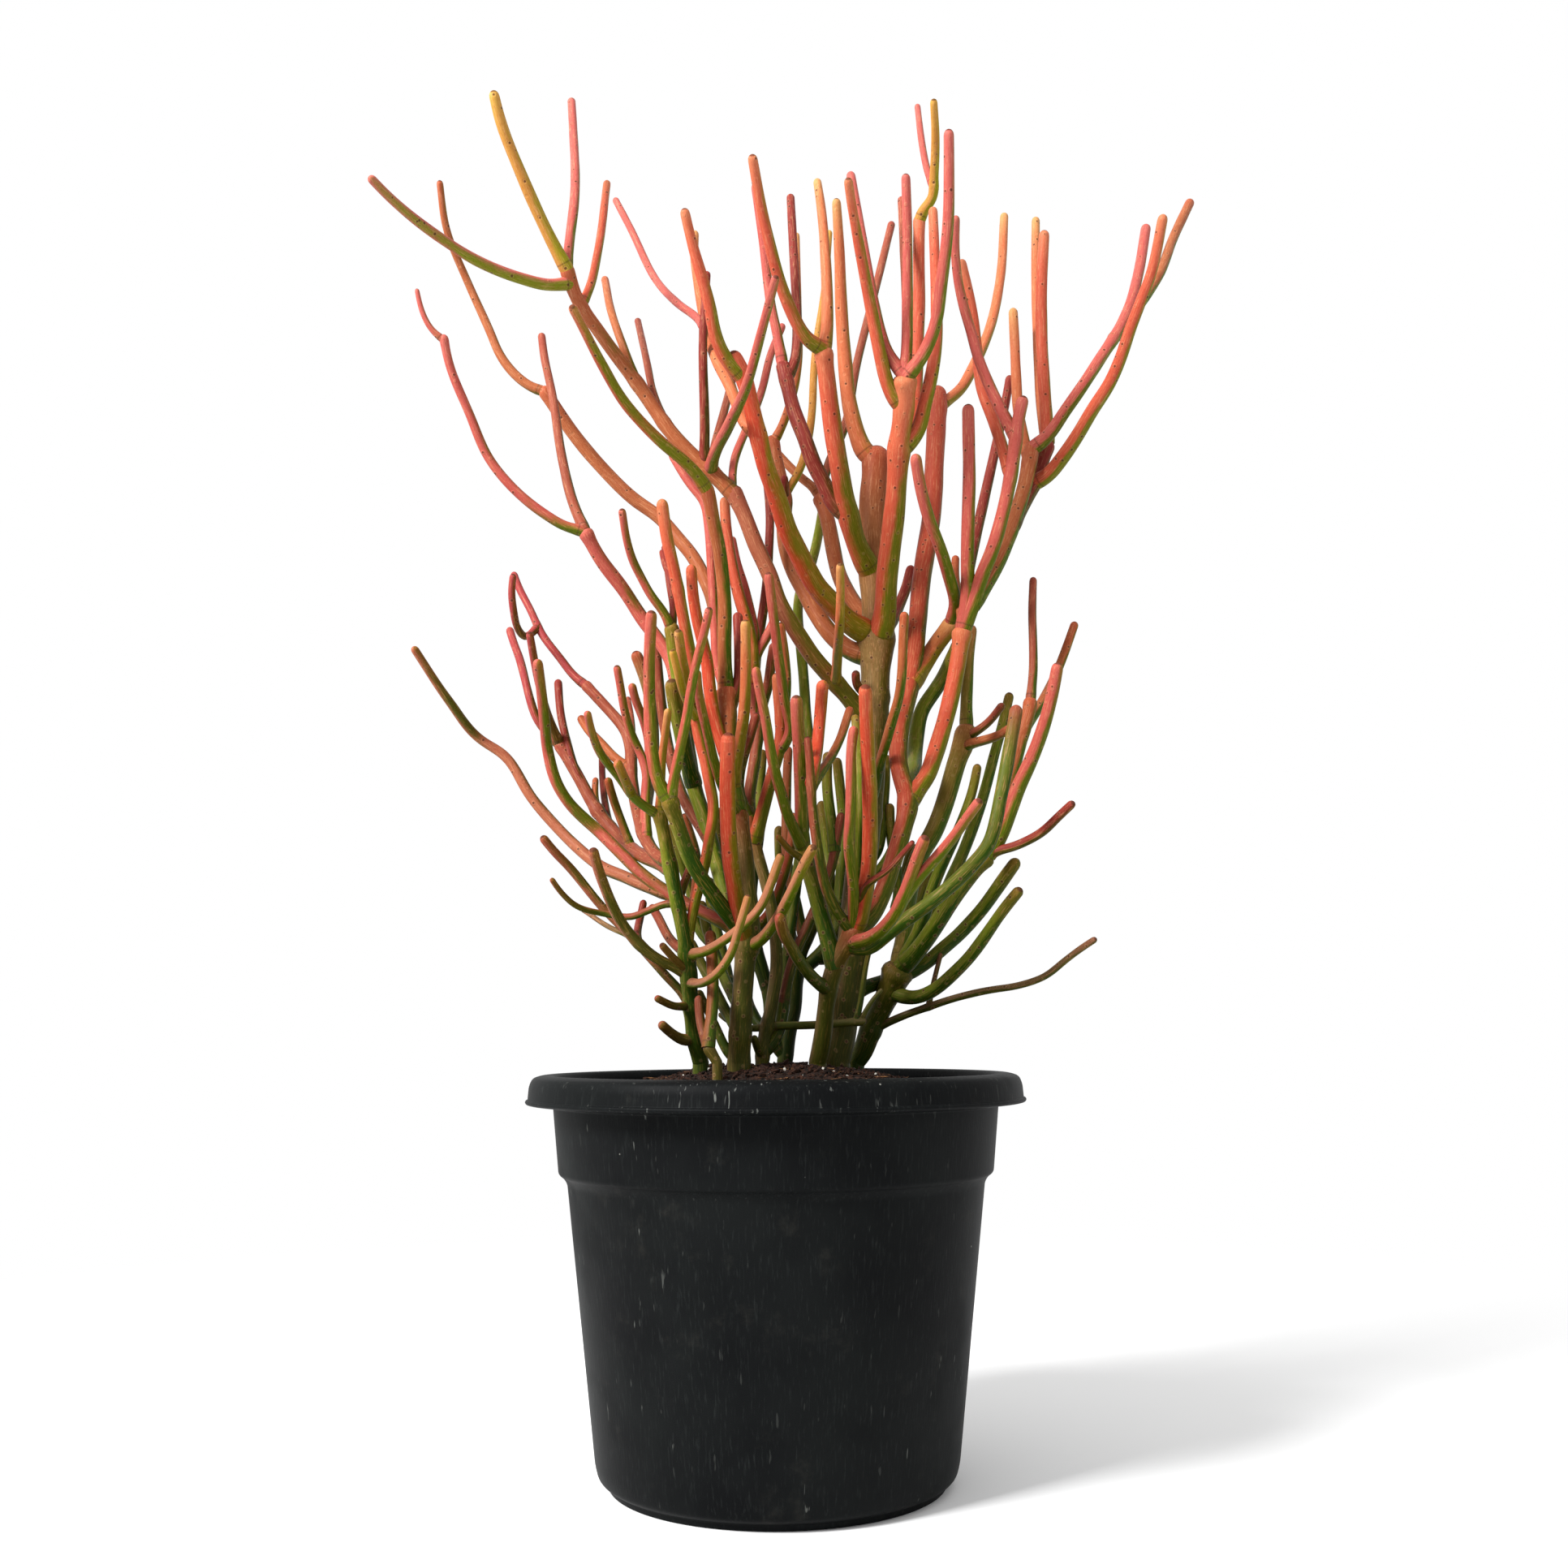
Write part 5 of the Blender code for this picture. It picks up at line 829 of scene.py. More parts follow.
def trace(rows, settings):
    """Trace every shoot of a cane, parents first."""
    shoots = {}
    for index, row in enumerate(rows):
        shoot = Shoot(row, index)
        parent = shoots.get(shoot.parent)
        read_shoot(shoot, parent)
        set_stations(shoot, parent)
        shoots[shoot.name] = shoot
    for shoot in shoots.values():
        swell(shoot, settings)
    for shoot in shoots.values():
        if shoot.parent:
            raise_knob(shoots[shoot.parent], shoot, settings)
    return list(shoots.values())


def set_frames(shoot):
    """Give each ring its own turn, carried along the line without twist."""
    centres = [ring.centre for ring in shoot.stations]
    runs = [(b - a).normalized() for a, b in zip(centres, centres[1:])]
    bends = [runs[0]] + [(a + b).normalized() for a, b in zip(runs, runs[1:])] + [runs[-1]]
    side = bends[0].orthogonal().normalized()
    last = bends[0]
    for ring, along in zip(shoot.stations, bends):
        side = last.rotation_difference(along) @ side
        side = (side - along * side.dot(along)).normalized()
        last = along
        ring.along = along
        ring.side = side
        ring.other = along.cross(side)


class SkinLayers:
    """The painted values that every corner of a shoot's skin carries."""

    def __init__(self, bm):
        layers = bm.loops.layers
        self.lit = layers.float_color.new("lit_tint")
        self.shade = layers.float_color.new("shade_tint")
        self.place = layers.float_vector.new("skin_place")
        self.sun = layers.float.new("sun")
        self.tip = layers.float.new("tip")
        self.foot = layers.float.new("foot")

    def paint(self, vert, shoot, ring, outward, turn=0.0, radius=0.0):
        """Write the values of one point of the skin to its corners."""
        lit, shade, young = (Vector(linear(*tint)) * TINT_GAIN for tint in TINTS[shoot.tint])
        run = ring.run
        exposed = min(MOST_EXPOSED, (ring.centre.z - HALF_LIT_LEVEL) / LIT_SPAN)
        exposed = max(LEAST_EXPOSED.get(shoot.tint, -1.0), exposed)
        fade = max(0.0, 1.0 - (shoot.length - run) / shoot.young_length)
        share = min(1.0, max(0.0, (run - shoot.buried) / shoot.length))
        spot = Vector((math.cos(turn), math.sin(turn), 0.0)) * radius
        spot += Vector((0.0, 0.0, run + MARKING_SHIFT * shoot.index))
        cap = max(0.0, 1.0 - (shoot.length - run) / (CAP_REACH * shoot.tip)) * shoot.wear
        for corner in vert.link_loops:
            corner[self.lit] = (*lit.lerp(young, fade * fade), 1.0)
            corner[self.shade] = (*shade.lerp(young, 0.5 * fade), 1.0)
            corner[self.place] = spot * MM
            corner[self.sun] = outward.dot(SUN_SIDE) + LIT_ALONG * (share - 0.5) + exposed
            corner[self.tip] = cap
            corner[self.foot] = run - shoot.buried if shoot.parent else run


def tube(name, shoot, sides):
    """Bend a straight tube of one ring for each station along the shoot."""
    bm = bmesh.new()
    skin = SkinLayers(bm)
    rings = shoot.stations
    bmesh.ops.create_circle(bm, segments=sides, radius=1.0)
    bmesh.ops.spin(
        bm,
        geom=bm.verts[:] + bm.edges[:],
        cent=(0.0, 0.0, 0.0),
        axis=(0.0, 0.0, 1.0),
        dvec=(0.0, 0.0, 1.0),
        angle=0.0,
        steps=len(rings) - 1,
    )
    rims = [edge for edge in bm.edges if edge.is_boundary]
    caps = bmesh.ops.holes_fill(bm, edges=rims, sides=0)["faces"]
    poles = bmesh.ops.poke(bm, faces=caps)["verts"]
    tip = rings[-1]
    for vert in bm.verts:
        ring = rings[round(vert.co.z)]
        if vert in poles:
            lift = POLE_LIFT * ring.radius if ring is tip else 0.0
            skin.paint(vert, shoot, ring, ring.along)
            vert.co = (ring.centre + ring.along * lift) * MM
            continue
        turn = math.atan2(vert.co.y, vert.co.x)
        outward = ring.side * math.cos(turn) + ring.other * math.sin(turn)
        skin.paint(vert, shoot, ring, outward, turn, ring.radius)
        vert.co = (ring.centre + outward * ring.radius) * MM
    return add_object(name, bm)


def add_object(name, bm):
    """Make one object from a bmesh, with outward faces."""
    bmesh.ops.recalc_face_normals(bm, faces=bm.faces)
    mesh = bpy.data.meshes.new(name)
    bm.to_mesh(mesh)
    bm.free()
    thing = bpy.data.objects.new(name, mesh)
    bpy.context.scene.collection.objects.link(thing)
    return thing


def unite(target, others):
    """Fuse the side shoots to the first one in one Boolean union, and apply it."""
    if not others:
        return
    group = bpy.data.collections.new("shoots")
    bpy.context.scene.collection.children.link(group)
    for thing in others:
        bpy.context.scene.collection.objects.unlink(thing)
        group.objects.link(thing)
    join = target.modifiers.new("join", "BOOLEAN")
    join.operation = "UNION"
    join.operand_type = "COLLECTION"
    join.collection = group
    join.solver = "MANIFOLD"
    graph = bpy.context.evaluated_depsgraph_get()
    mesh = bpy.data.meshes.new_from_object(target.evaluated_get(graph))
    target.modifiers.clear()
    target.data = mesh
    for thing in others:
        bpy.data.objects.remove(thing, do_unlink=True)
    bpy.data.collections.remove(group)


# The sides of a shoot's tube for a foot wider than so many millimetres
SIDES = ((12.0, 20), (7.0, 16), (0.0, 12))

# Edges of the skin and of the pot that turn by more than these angles stay crisp
SKIN_CREASE = math.radians(45.0)
POT_CREASE = math.radians(50.0)


def sides_of(shoot):
    """Pick how many sides a shoot's tube needs for its girth."""
    for least, sides in SIDES:
        if shoot.foot > least:
            return sides


def build_cane(name, rows, settings):
    """Build one cane: every shoot a round tube, all fused."""
    shoots = trace(rows, settings)
    tubes = []
    for shoot in shoots:
        set_frames(shoot)
        tubes.append(tube(name, shoot, sides_of(shoot)))
    cane = tubes[0]
    unite(cane, tubes[1:])
    cane.name = name + "_skin"
    cane.data.shade_smooth()
    cane.data.set_sharp_from_angle(angle=SKIN_CREASE)
    cane.data.materials.clear()
    cane.data.materials.append(skin_finish(settings))
    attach(cane, BODY)
    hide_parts(name)


class Wire:
    """One socket of a shader tree. Arithmetic on it adds Math nodes."""

    def __init__(self, tree, socket):
        self.tree = tree
        self.socket = socket

    def math(self, operation, *values):
        """Add one Math node fed by wires or numbers."""
        node = self.tree.nodes.new("ShaderNodeMath")
        node.operation = operation
        for slot, value in zip(node.inputs, values):
            if isinstance(value, Wire):
                self.tree.links.new(value.socket, slot)
            else:
                slot.default_value = value
        return Wire(self.tree, node.outputs[0])

    def __add__(self, other):
        return self.math("ADD", self, other)

    def __radd__(self, other):
        return self.math("ADD", other, self)

    def __sub__(self, other):
        return self.math("SUBTRACT", self, other)

    def __rsub__(self, other):
        return self.math("SUBTRACT", other, self)

    def __mul__(self, other):
        return self.math("MULTIPLY", self, other)

    def __pow__(self, other):
        return self.math("POWER", self, other)


class Finish:
    """A Principled material under construction."""

    def __init__(self, name, roughness, gloss=0.5):
        self.material = bpy.data.materials.new(name)
        self.material.use_nodes = True
        self.tree = self.material.node_tree
        self.surface = self.tree.nodes["Principled BSDF"]
        self.surface.inputs["Roughness"].default_value = roughness
        self.surface.inputs["Specular IOR Level"].default_value = gloss

    def node(self, kind, settings=None, sockets=None, out=0):
        """Add a node: its settings first, then the values or wires of its sockets."""
        made = self.tree.nodes.new(kind)
        for key, value in (settings or {}).items():
            setattr(made, key, value)
        for key, value in (sockets or {}).items():
            self.feed(made.inputs[key], value)
        return Wire(self.tree, made.outputs[out])

    def feed(self, slot, value):
        """Link a wire to a socket, or set the socket's own value."""
        if isinstance(value, Wire):
            self.tree.links.new(value.socket, slot)
        elif slot.type == "RGBA" and len(value) == 3:
            slot.default_value = (*value, 1.0)
        else:
            slot.default_value = value

    def object_place(self):
        """Read the place on the piece, in metres."""
        return self.node("ShaderNodeTexCoord", out="Object")

    def along(self, axis, place):
        """Read one part of a place."""
        return self.node("ShaderNodeSeparateXYZ", None, {0: place}, axis)

    def attribute(self, name, out="Fac"):
        """Read a value that the mesh carries."""
        return self.node("ShaderNodeAttribute", {"attribute_name": name}, out=out)

    def stretched(self, place, x, y, z):
        """Scale a place along its three axes."""
        return self.node(
            "ShaderNodeVectorMath", {"operation": "MULTIPLY"}, {0: place, 1: (x, y, z)}
        )

    def noise(self, place, scale, detail=2.0, roughness=0.5):
        """Read a noise value, 0 to 1 about a half."""
        sockets = {"Vector": place, "Scale": scale, "Detail": detail, "Roughness": roughness}
        return self.node("ShaderNodeTexNoise", None, sockets)

    def dots(self, place, scale):
        """Read the distance to the nearest of many scattered dots."""
        sockets = {"Vector": place, "Scale": scale, "Randomness": 1.0}
        return self.node("ShaderNodeTexVoronoi", {"feature": "F1"}, sockets)

    def step(self, value, low, high):
        """Turn a value into a mask that rises smoothly from 0 at low to 1 at high."""
        settings = {"interpolation_type": "SMOOTHSTEP"}
        sockets = {"Value": value, "From Min": low, "From Max": high}
        return self.node("ShaderNodeMapRange", settings, sockets)

    def mix(self, share, first, second, blend="MIX"):
        """Mix two colours by a share."""
        settings = {"data_type": "RGBA", "blend_type": blend}
        return self.node("ShaderNodeMix", settings, {0: share, 6: first, 7: second}, out=2)

    def finish(self, colour, roughness=None, height=None, depth=0.0005):
        """Link the colour, roughness and relief to the surface."""
        self.feed(self.surface.inputs["Base Color"], colour)
        if roughness is not None:
            self.feed(self.surface.inputs["Roughness"], roughness)
        if height is not None:
            sockets = {"Strength": 1.0, "Distance": depth, "Height": height}
            self.feed(self.surface.inputs["Normal"], self.node("ShaderNodeBump", None, sockets))
        return self.material


# The fineness of the skin's markings, in spots to the metre
BLOTCHES = 170.0
STREAKS = 1300.0
MOTTLES = 900.0
SCARS = 140.0

# Where the skin changes, in metres: by its height, its reach from the axis and its depth behind
# it, for painted shade low between the stems, for skin aged at the foot, or below the bright tops
SHADED_HEIGHTS = (0.28, 0.58)
SHADED_REACH = (0.03, 0.13)
SHADED_DEPTHS = (-0.02, 0.09)
AGED_HEIGHTS = (0.27, 0.37)
TOP_HEIGHTS = (0.55, 0.85)


def skin_finish(settings):
    """Waxy skin: a blushed sunny side, a green shaded side, streaks, leaf scars and caps.

    It carries painted shade low down between the stems, darkest toward the middle and the back.
    """
    if "cactus_skin" in bpy.data.materials:
        return bpy.data.materials["cactus_skin"]
    paint = Finish("cactus_skin", 0.45, 0.07)
    place = paint.attribute("skin_place", "Vector")
    spot = paint.object_place()
    across, depth, height = (paint.along(axis, spot) for axis in "XYZ")
    blotch = paint.noise(paint.stretched(place, 1.0, 1.0, 0.3), BLOTCHES, 3.0, 0.55)
    streak = paint.noise(paint.stretched(place, 1.0, 1.0, 0.06), STREAKS, 2.5, 0.65)
    mottle = paint.noise(paint.stretched(place, 1.0, 1.0, 0.5), MOTTLES, 3.0, 0.7)
    side = paint.attribute("sun") + (blotch - 0.5) * 0.7 + (streak - 0.5) * 0.3
    blush = paint.step(side, -0.4, 0.16)
    colour = paint.mix(
        blush, paint.attribute("shade_tint", "Color"), paint.attribute("lit_tint", "Color")
    )
    pale = paint.step(streak, 0.5, 0.72) * 0.32
    worn = paint.step(mottle, 0.45, 0.8) * 0.5
    flushed = paint.step(blotch, 0.5, 0.8) * 0.25
    colour = paint.mix(pale, colour, linear(214, 164, 122))
    colour = paint.mix(worn, colour, linear(206, 150, 120), "MULTIPLY")
    colour = paint.mix(flushed, colour, linear(206, 120, 96), "MULTIPLY")
    # Painted shade: the skin is darkened low down, near the axis and toward the back, where the stems shade
    # one another
    low = 1.0 - paint.step(height, *SHADED_HEIGHTS)
    inner = 1.0 - paint.step((across * across + depth * depth) ** 0.5, *SHADED_REACH)
    behind = paint.step(depth, *SHADED_DEPTHS)
    painted_shade = low * (0.12 + inner * 0.4 + behind * 0.48)
    aged = 1.0 - paint.step(height, *AGED_HEIGHTS)
    colour = paint.mix(aged * 0.25, colour, linear(84, 80, 58))
    # The painted shade multiplies the skin toward a dark olive
    colour = paint.mix(painted_shade * 0.95, colour, linear(54, 72, 30), "MULTIPLY")
    below = 1.0 - paint.step(height, *TOP_HEIGHTS)
    warmth = paint.mix(blush, linear(222, 228, 150), linear(243, 232, 220))
    colour = paint.mix(below, colour, warmth, "MULTIPLY")
    foot = paint.attribute("foot")
    ring = paint.step(foot, 0.1, 0.9) * (1.0 - paint.step(foot, 0.9, 2.2))
    colour = paint.mix(ring * 0.5, colour, linear(58, 38, 24))
    scars = paint.dots(place, SCARS)
    halo = 1.0 - paint.step(scars, 0.17, 0.27)
    pip = 1.0 - paint.step(scars, 0.09, 0.16)
    colour = paint.mix(halo * 0.1, colour, linear(206, 160, 116))
    colour = paint.mix(pip * 0.8, colour, settings.scar_colour)
    cap = paint.step(paint.attribute("tip") + (blotch - 0.5) * 0.08, 0.86, 0.94)
    colour = paint.mix(cap * 0.8, colour, settings.cap_colour)
    roughness = 0.4 + blotch * 0.14 + cap * 0.25
    relief = streak * 0.45 + blotch * 0.3 + halo * 0.5 - pip * 0.4
    return paint.finish(colour, roughness, relief, 0.00035)


# The pot's section, from under the foot round the lip to the floor: radius, height and fillet
POT_PROFILE = (
    (108.0, 0.0, 1.0),
    (109.0, 3.5, 1.0),
    (114.6, 6.4, 3.0),
    (116.8, 14.0, 5.0),
    (136.8, 187.5, 3.0),
    (139.2, 191.4, 2.2),
    (142.6, 193.8, 2.2),
    (146.8, 236.4, 1.2),
    (162.6, 238.0, 0.6),
    (164.2, 238.4, 0.7),
    (165.0, 239.6, 0.6),
    (164.6, 240.8, 0.5),
    (163.3, 241.4, 0.5),
    (162.6, 250.0, 5.0),
    (160.4, 255.0, 4.0),
    (154.0, 256.9, 4.0),
    (146.6, 256.6, 2.5),
    (144.6, 252.0, 1.6),
    (144.5, 236.0, 2.0),
    (140.5, 193.0, 2.0),
    (134.5, 188.0, 2.0),
    (114.6, 12.0, 3.0),
    (112.0, 5.2, 1.5),
)
POT_FLOOR_TOP = 5.2
# A fillet's steps and the most of an edge that it takes, and how near points merge, in metres
FILLET_STEPS = 5
FILLET_SHARE = 0.45
MERGE_METRES = 0.00001


def filleted(profile):
    """Round each corner of a (radius, height, fillet) profile with a short arc."""
    points = [Vector(corner[:2]) for corner in profile]
    line = [points[0]]
    for before, corner, after, row in zip(points, points[1:], points[2:], profile[1:]):
        room = min((before - corner).length, (after - corner).length)
        reach = min(row[2], room * FILLET_SHARE)
        start = corner + (before - corner).normalized() * reach
        end = corner + (after - corner).normalized() * reach
        for step in range(FILLET_STEPS + 1):
            t = step / FILLET_STEPS
            line.append(start.lerp(corner, t).lerp(corner.lerp(end, t), t))
    return line + [points[-1]]


def turned(profile, sides):
    """Spin an open (radius, height) profile in millimetres round the upright axis."""
    bm = bmesh.new()
    points = [bm.verts.new((point[0] * MM, 0.0, point[1] * MM)) for point in profile]
    edges = [bm.edges.new(pair) for pair in zip(points, points[1:])]
    bmesh.ops.spin(
        bm,
        geom=points + edges,
        cent=(0.0, 0.0, 0.0),
        axis=(0.0, 0.0, 1.0),
        angle=math.tau,
        steps=sides,
        use_merge=True,
    )
    bmesh.ops.remove_doubles(bm, verts=bm.verts, dist=MERGE_METRES)
    return bm


def pot_finish(settings):
    """Charcoal nursery plastic: satin, brushed upright, with pale scuffs, nicks and specks."""
    paint = Finish("nursery_plastic", 0.5, 0.045)
    place = paint.object_place()
    cloud = paint.noise(place, 11.0, 4.0, 0.6)
    brushed = paint.noise(paint.stretched(place, 1.0, 1.0, 0.05), 700.0, 3.0, 0.65)
    clouded = paint.step(cloud, 0.3, 0.7)
    colour = paint.mix(clouded, settings.dark_plastic, settings.pale_plastic)
    colour = paint.mix(paint.step(brushed, 0.52, 0.78) * 0.3, colour, linear(42, 45, 44))
    leaned = paint.node("ShaderNodeVectorRotate", None, {"Vector": place, "Angle": 0.5})
    wear = paint.step(paint.noise(place, 16.0, 2.0), 0.54, 0.7)
    rim = paint.step(paint.along("Z", place), 0.228, 0.238)
    for where, squash, size, edge in ((place, 0.12, 330.0, 0.7), (leaned, 0.16, 240.0, 0.71)):
        nicks = paint.noise(paint.stretched(where, 1.0, 1.0, squash), size, 2.0, 0.55) + rim * 0.04
        scuffed = paint.step(nicks, edge, edge + 0.06) * (0.15 + wear * 0.75)
        colour = paint.mix(scuffed, colour, settings.scuff_colour)
    speck = (1.0 - paint.step(paint.dots(place, 34.0), 0.016, 0.034)) * 0.8
    colour = paint.mix(speck, colour, linear(140, 140, 132))
    dusty = paint.step(paint.noise(place, 30.0, 5.0, 0.7), 0.55, 0.8)
    colour = paint.mix(dusty * 0.14, colour, linear(66, 64, 58))
    roughness = 0.44 + cloud * 0.14 + wear * 0.08
    return paint.finish(colour, roughness, brushed * 0.6 + cloud * 0.4, 0.00015)


def build_pot(settings):
    """Build the pot with its stepped band, rolled rim and thin flared lip."""
    profile = [Vector((0.0, 0.0))] + filleted(POT_PROFILE) + [Vector((0.0, POT_FLOOR_TOP))]
    pot = add_object("nursery_pot", turned(profile, settings.sides))
    pot.data.shade_smooth()
    pot.data.set_sharp_from_angle(angle=POT_CREASE)
    pot.data.materials.append(pot_finish(settings))
    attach(pot, BODY)
    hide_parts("pot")


SOIL_RIM = (144.1, 239.0)
SOIL_OUTSIDE = (
    (0.0, 5.5),
    (111.7, 5.5),
    (114.2, 12.2),
    (134.1, 188.2),
    (140.0, 193.3),
    (144.0, 236.0),
    SOIL_RIM,
)
SOIL_HEAP = (
    SOIL_RIM,
    (128.0, 241.5),
    (104.0, 245.5),
    (78.0, 253.0),
    (45.0, 260.0),
    (0.0, 261.6),
)
HEAP_RINGS = 48
HEAP_FOOT = 238.0

# The lumps' size in millimetres, and how they die away toward the wall, never wholly
LUMP_SIZE = 26.0
LUMP_EDGE = 143.0
LUMP_FADE = 12.0
LUMP_LEAST = 0.25
# The lumps' fractal: how fast the fine ones flatten, how much finer each layer is, and the layers
LUMP_FRACTAL = (0.8, 2.1, 4)

# How far out a loose bit may lie, its clearance from the stems, the shares of its thickness that
# it sinks or stands proud by, and its pitch as a share of its roll
SOIL_REACH = 142.5
STEM_CLEARANCE = 0.4
BIT_LIFT = (-0.2, 0.9)
PITCH_SHARE = 0.6
# The loose bits: piece, finish, shape, count, half sizes from least to most, tilt and two shades
LOOSE_BITS = (
    ("soil_bark", "bark_chips", "crumb", 2200,
     (1.6, 1.0, 0.6), (4.2, 2.4, 1.4), 0.7, (14, 9, 7), (56, 34, 24)),
    ("soil_grit", "bark_grit", "crumb", 2600,
     (0.8, 0.6, 0.5), (1.9, 1.5, 1.1), 1.5, (14, 9, 7), (56, 34, 24)),
    ("soil_perlite", "perlite", "crumb", 70,
     (0.9, 0.8, 0.7), (1.9, 1.6, 1.4), 1.5, (150, 146, 138), (214, 210, 200)),
    ("soil_fibres", "coir", "fibre", 300,
     (5.0, 0.22, 0.22), (13.0, 0.4, 0.4), 0.12, (56, 37, 24), (122, 86, 54)),
)


def heap_level(radius):
    """Read the heap's smooth level at a distance from the axis."""
    for (far, low), (near, high) in zip(SOIL_HEAP, SOIL_HEAP[1:]):
        if radius >= near:
            share = min(1.0, (far - radius) / (far - near))
            return low + (high - low) * share
    return SOIL_HEAP[-1][1]


def soil_level(x, y, settings):
    """Read the lumpy surface of the soil at a place."""
    radius = math.hypot(x, y)
    spot = Vector((x, y, 0.0))
    lump = noise.fractal(spot / LUMP_SIZE, *LUMP_FRACTAL)
    edge = min(1.0, max(0.0, (LUMP_EDGE - radius) / LUMP_FADE))
    return heap_level(radius) + settings.lump * lump * (LUMP_LEAST + (1.0 - LUMP_LEAST) * edge)


def soil_finish(name, dark, pale):
    """Dull earth or bark between two shades, which change from crumb to crumb."""
    paint = Finish(name, 0.95, 0.15)
    place = paint.object_place()
    crumb = paint.noise(place, 330.0, 1.0, 0.5)
    grain = paint.noise(place, 1400.0, 3.0, 0.7)
    shade = paint.step(crumb + (grain - 0.5) * 0.4, 0.3, 0.7)
    colour = paint.mix(shade, dark, pale)
    return paint.finish(colour, None, grain, 0.0006)


def stem_feet():
    """Return where each cane stands in the soil: its place and its radius."""
    feet = []
    for rows in CANES.values():
        shoot = Shoot(rows[0], 0)
        read_shoot(shoot, None)
        across, up, depth, radius = shoot.readings[0]
        feet.append((place(across, up, depth), radius))
    return feet


def dress(name, bm, finish):
    """Turn a bmesh into one finished piece of the soil."""
    piece = add_object(name, bm)
    piece.data.materials.append(finish)
    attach(piece, BODY)
    return piece


FIBRE_SIDES = 5
FIBRE_TAPER = 0.7
FIBRE_CUTS = 3
FIBRE_BEND = 6.0
CRUMB_DENT = 0.3
DENT_FINENESS = 3.1


def crumb_shape(kind):
    """Make the plain closed shape that one kind of loose bit is copied from."""
    bm = bmesh.new()
    if kind == "fibre":
        bmesh.ops.create_cone(
            bm,
            cap_ends=True,
            segments=FIBRE_SIDES,
            radius1=1.0,
            radius2=FIBRE_TAPER,
            depth=2.0,
        )
        bmesh.ops.rotate(bm, verts=bm.verts, matrix=Matrix.Rotation(math.pi / 2.0, 3, "Y"))
        ends = [edge for edge in bm.edges if abs(edge.verts[0].co.x - edge.verts[1].co.x) > 1.0]
        bmesh.ops.subdivide_edges(bm, edges=ends, cuts=FIBRE_CUTS)
        for vert in bm.verts:
            vert.co.y += FIBRE_BEND * vert.co.x**2
    else:
        bmesh.ops.create_icosphere(bm, subdivisions=1, radius=1.0)
        for vert in bm.verts:
            vert.co *= 1.0 + CRUMB_DENT * noise.noise(vert.co * DENT_FINENESS)
    bmesh.ops.recalc_face_normals(bm, faces=bm.faces)
    shape = bpy.data.meshes.new("crumb")
    bm.to_mesh(shape)
    bm.free()
    return shape


def scatter(kind, count, least, most, tilt, feet, chance, settings):
    """Lay many turned copies of one loose bit on the soil, clear of the stems."""
    shape = crumb_shape(kind)
    bm = bmesh.new()
    laid = 0
    while laid < count:
        size = Vector([chance.uniform(low, high) for low, high in zip(least, most)])
        reach = (SOIL_REACH - size.x) * math.sqrt(chance.random())
        turn = chance.uniform(0.0, math.tau)
        x, y = reach * math.cos(turn), reach * math.sin(turn)
        if any(math.hypot(x - at.x, y - at.y) < r + size.x + STEM_CLEARANCE for at, r in feet):
            continue
        level = soil_level(x, y, settings) + size.z * chance.uniform(*BIT_LIFT)
        roll, pitch = chance.gauss(0.0, tilt), chance.gauss(0.0, tilt * PITCH_SHARE)
        lean = Euler((roll, pitch, chance.uniform(0.0, math.tau)))
        copy = shape.copy()
        copy.transform(Matrix.LocRotScale(Vector((x, y, level)) * MM, lean, size * MM))
        bm.from_mesh(copy)
        bpy.data.meshes.remove(copy)
        laid += 1
    bpy.data.meshes.remove(shape)
    return bm


def build_soil(settings):
    """Build the heaped soil as one closed body with a lumpy top, and the loose bits on it."""
    profile = [Vector(point) for point in SOIL_OUTSIDE]
    for ring in range(1, HEAP_RINGS + 1):
        radius = SOIL_RIM[0] * (1.0 - ring / HEAP_RINGS)
        profile.append(Vector((radius, heap_level(radius))))
    bm = turned(profile, settings.sides)
    for vert in bm.verts:
        x, y, z = vert.co / MM
        if z > HEAP_FOOT:
            vert.co.z = soil_level(x, y, settings) * MM
    bark = soil_finish("bark_mix", settings.dark_bark, settings.pale_bark)
    soil = dress("soil_heap", bm, bark)
    soil.data.shade_smooth()
    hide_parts("soil")
    feet = stem_feet()
    chance = random.Random(settings.seed)
    for piece, finish, kind, count, least, most, tilt, dark, pale in LOOSE_BITS:
        bm = scatter(kind, count, least, most, tilt, feet, chance, settings)
        dress(piece, bm, soil_finish(finish, linear(*dark), linear(*pale)))


CAMERA_PITCH = math.radians(8.95)
CAMERA_ROLL = -0.0062
CAMERA_FOCAL_PIXELS = 1974.4
PHOTO_WIDTH = 1932.0
SENSOR_WIDTH = 36.0
NEAREST_SEEN = 0.05
FURTHEST_SEEN = 50.0


def build_camera():
    """Stand the camera where the photograph was taken from."""
    data = bpy.data.cameras.new("camera")
    data.sensor_width = SENSOR_WIDTH
    data.lens = CAMERA_FOCAL_PIXELS / PHOTO_WIDTH * SENSOR_WIDTH
    data.clip_start = NEAREST_SEEN
    data.clip_end = FURTHEST_SEEN
    camera = bpy.data.objects.new("camera", data)
    bpy.context.scene.collection.objects.link(camera)
    turn = Matrix.Rotation(math.pi / 2.0 + CAMERA_PITCH, 4, "X")
    roll = Matrix.Rotation(CAMERA_ROLL, 4, "Z")
    stand = Matrix.Translation(Vector((VIEW_ACROSS, -VIEW_DISTANCE, VIEW_UP)) * MM)
    camera.matrix_world = stand @ turn @ roll
    bpy.context.scene.camera = camera


# The key light's place, the place that it aims at and its width in metres, and its power in watts
KEY_SPOT = Vector((-2.0, -1.6, 2.2))
KEY_AIM = Vector((0.0, 0.0, 0.6))
KEY_WIDTH = 0.9
KEY_POWER = 200.0


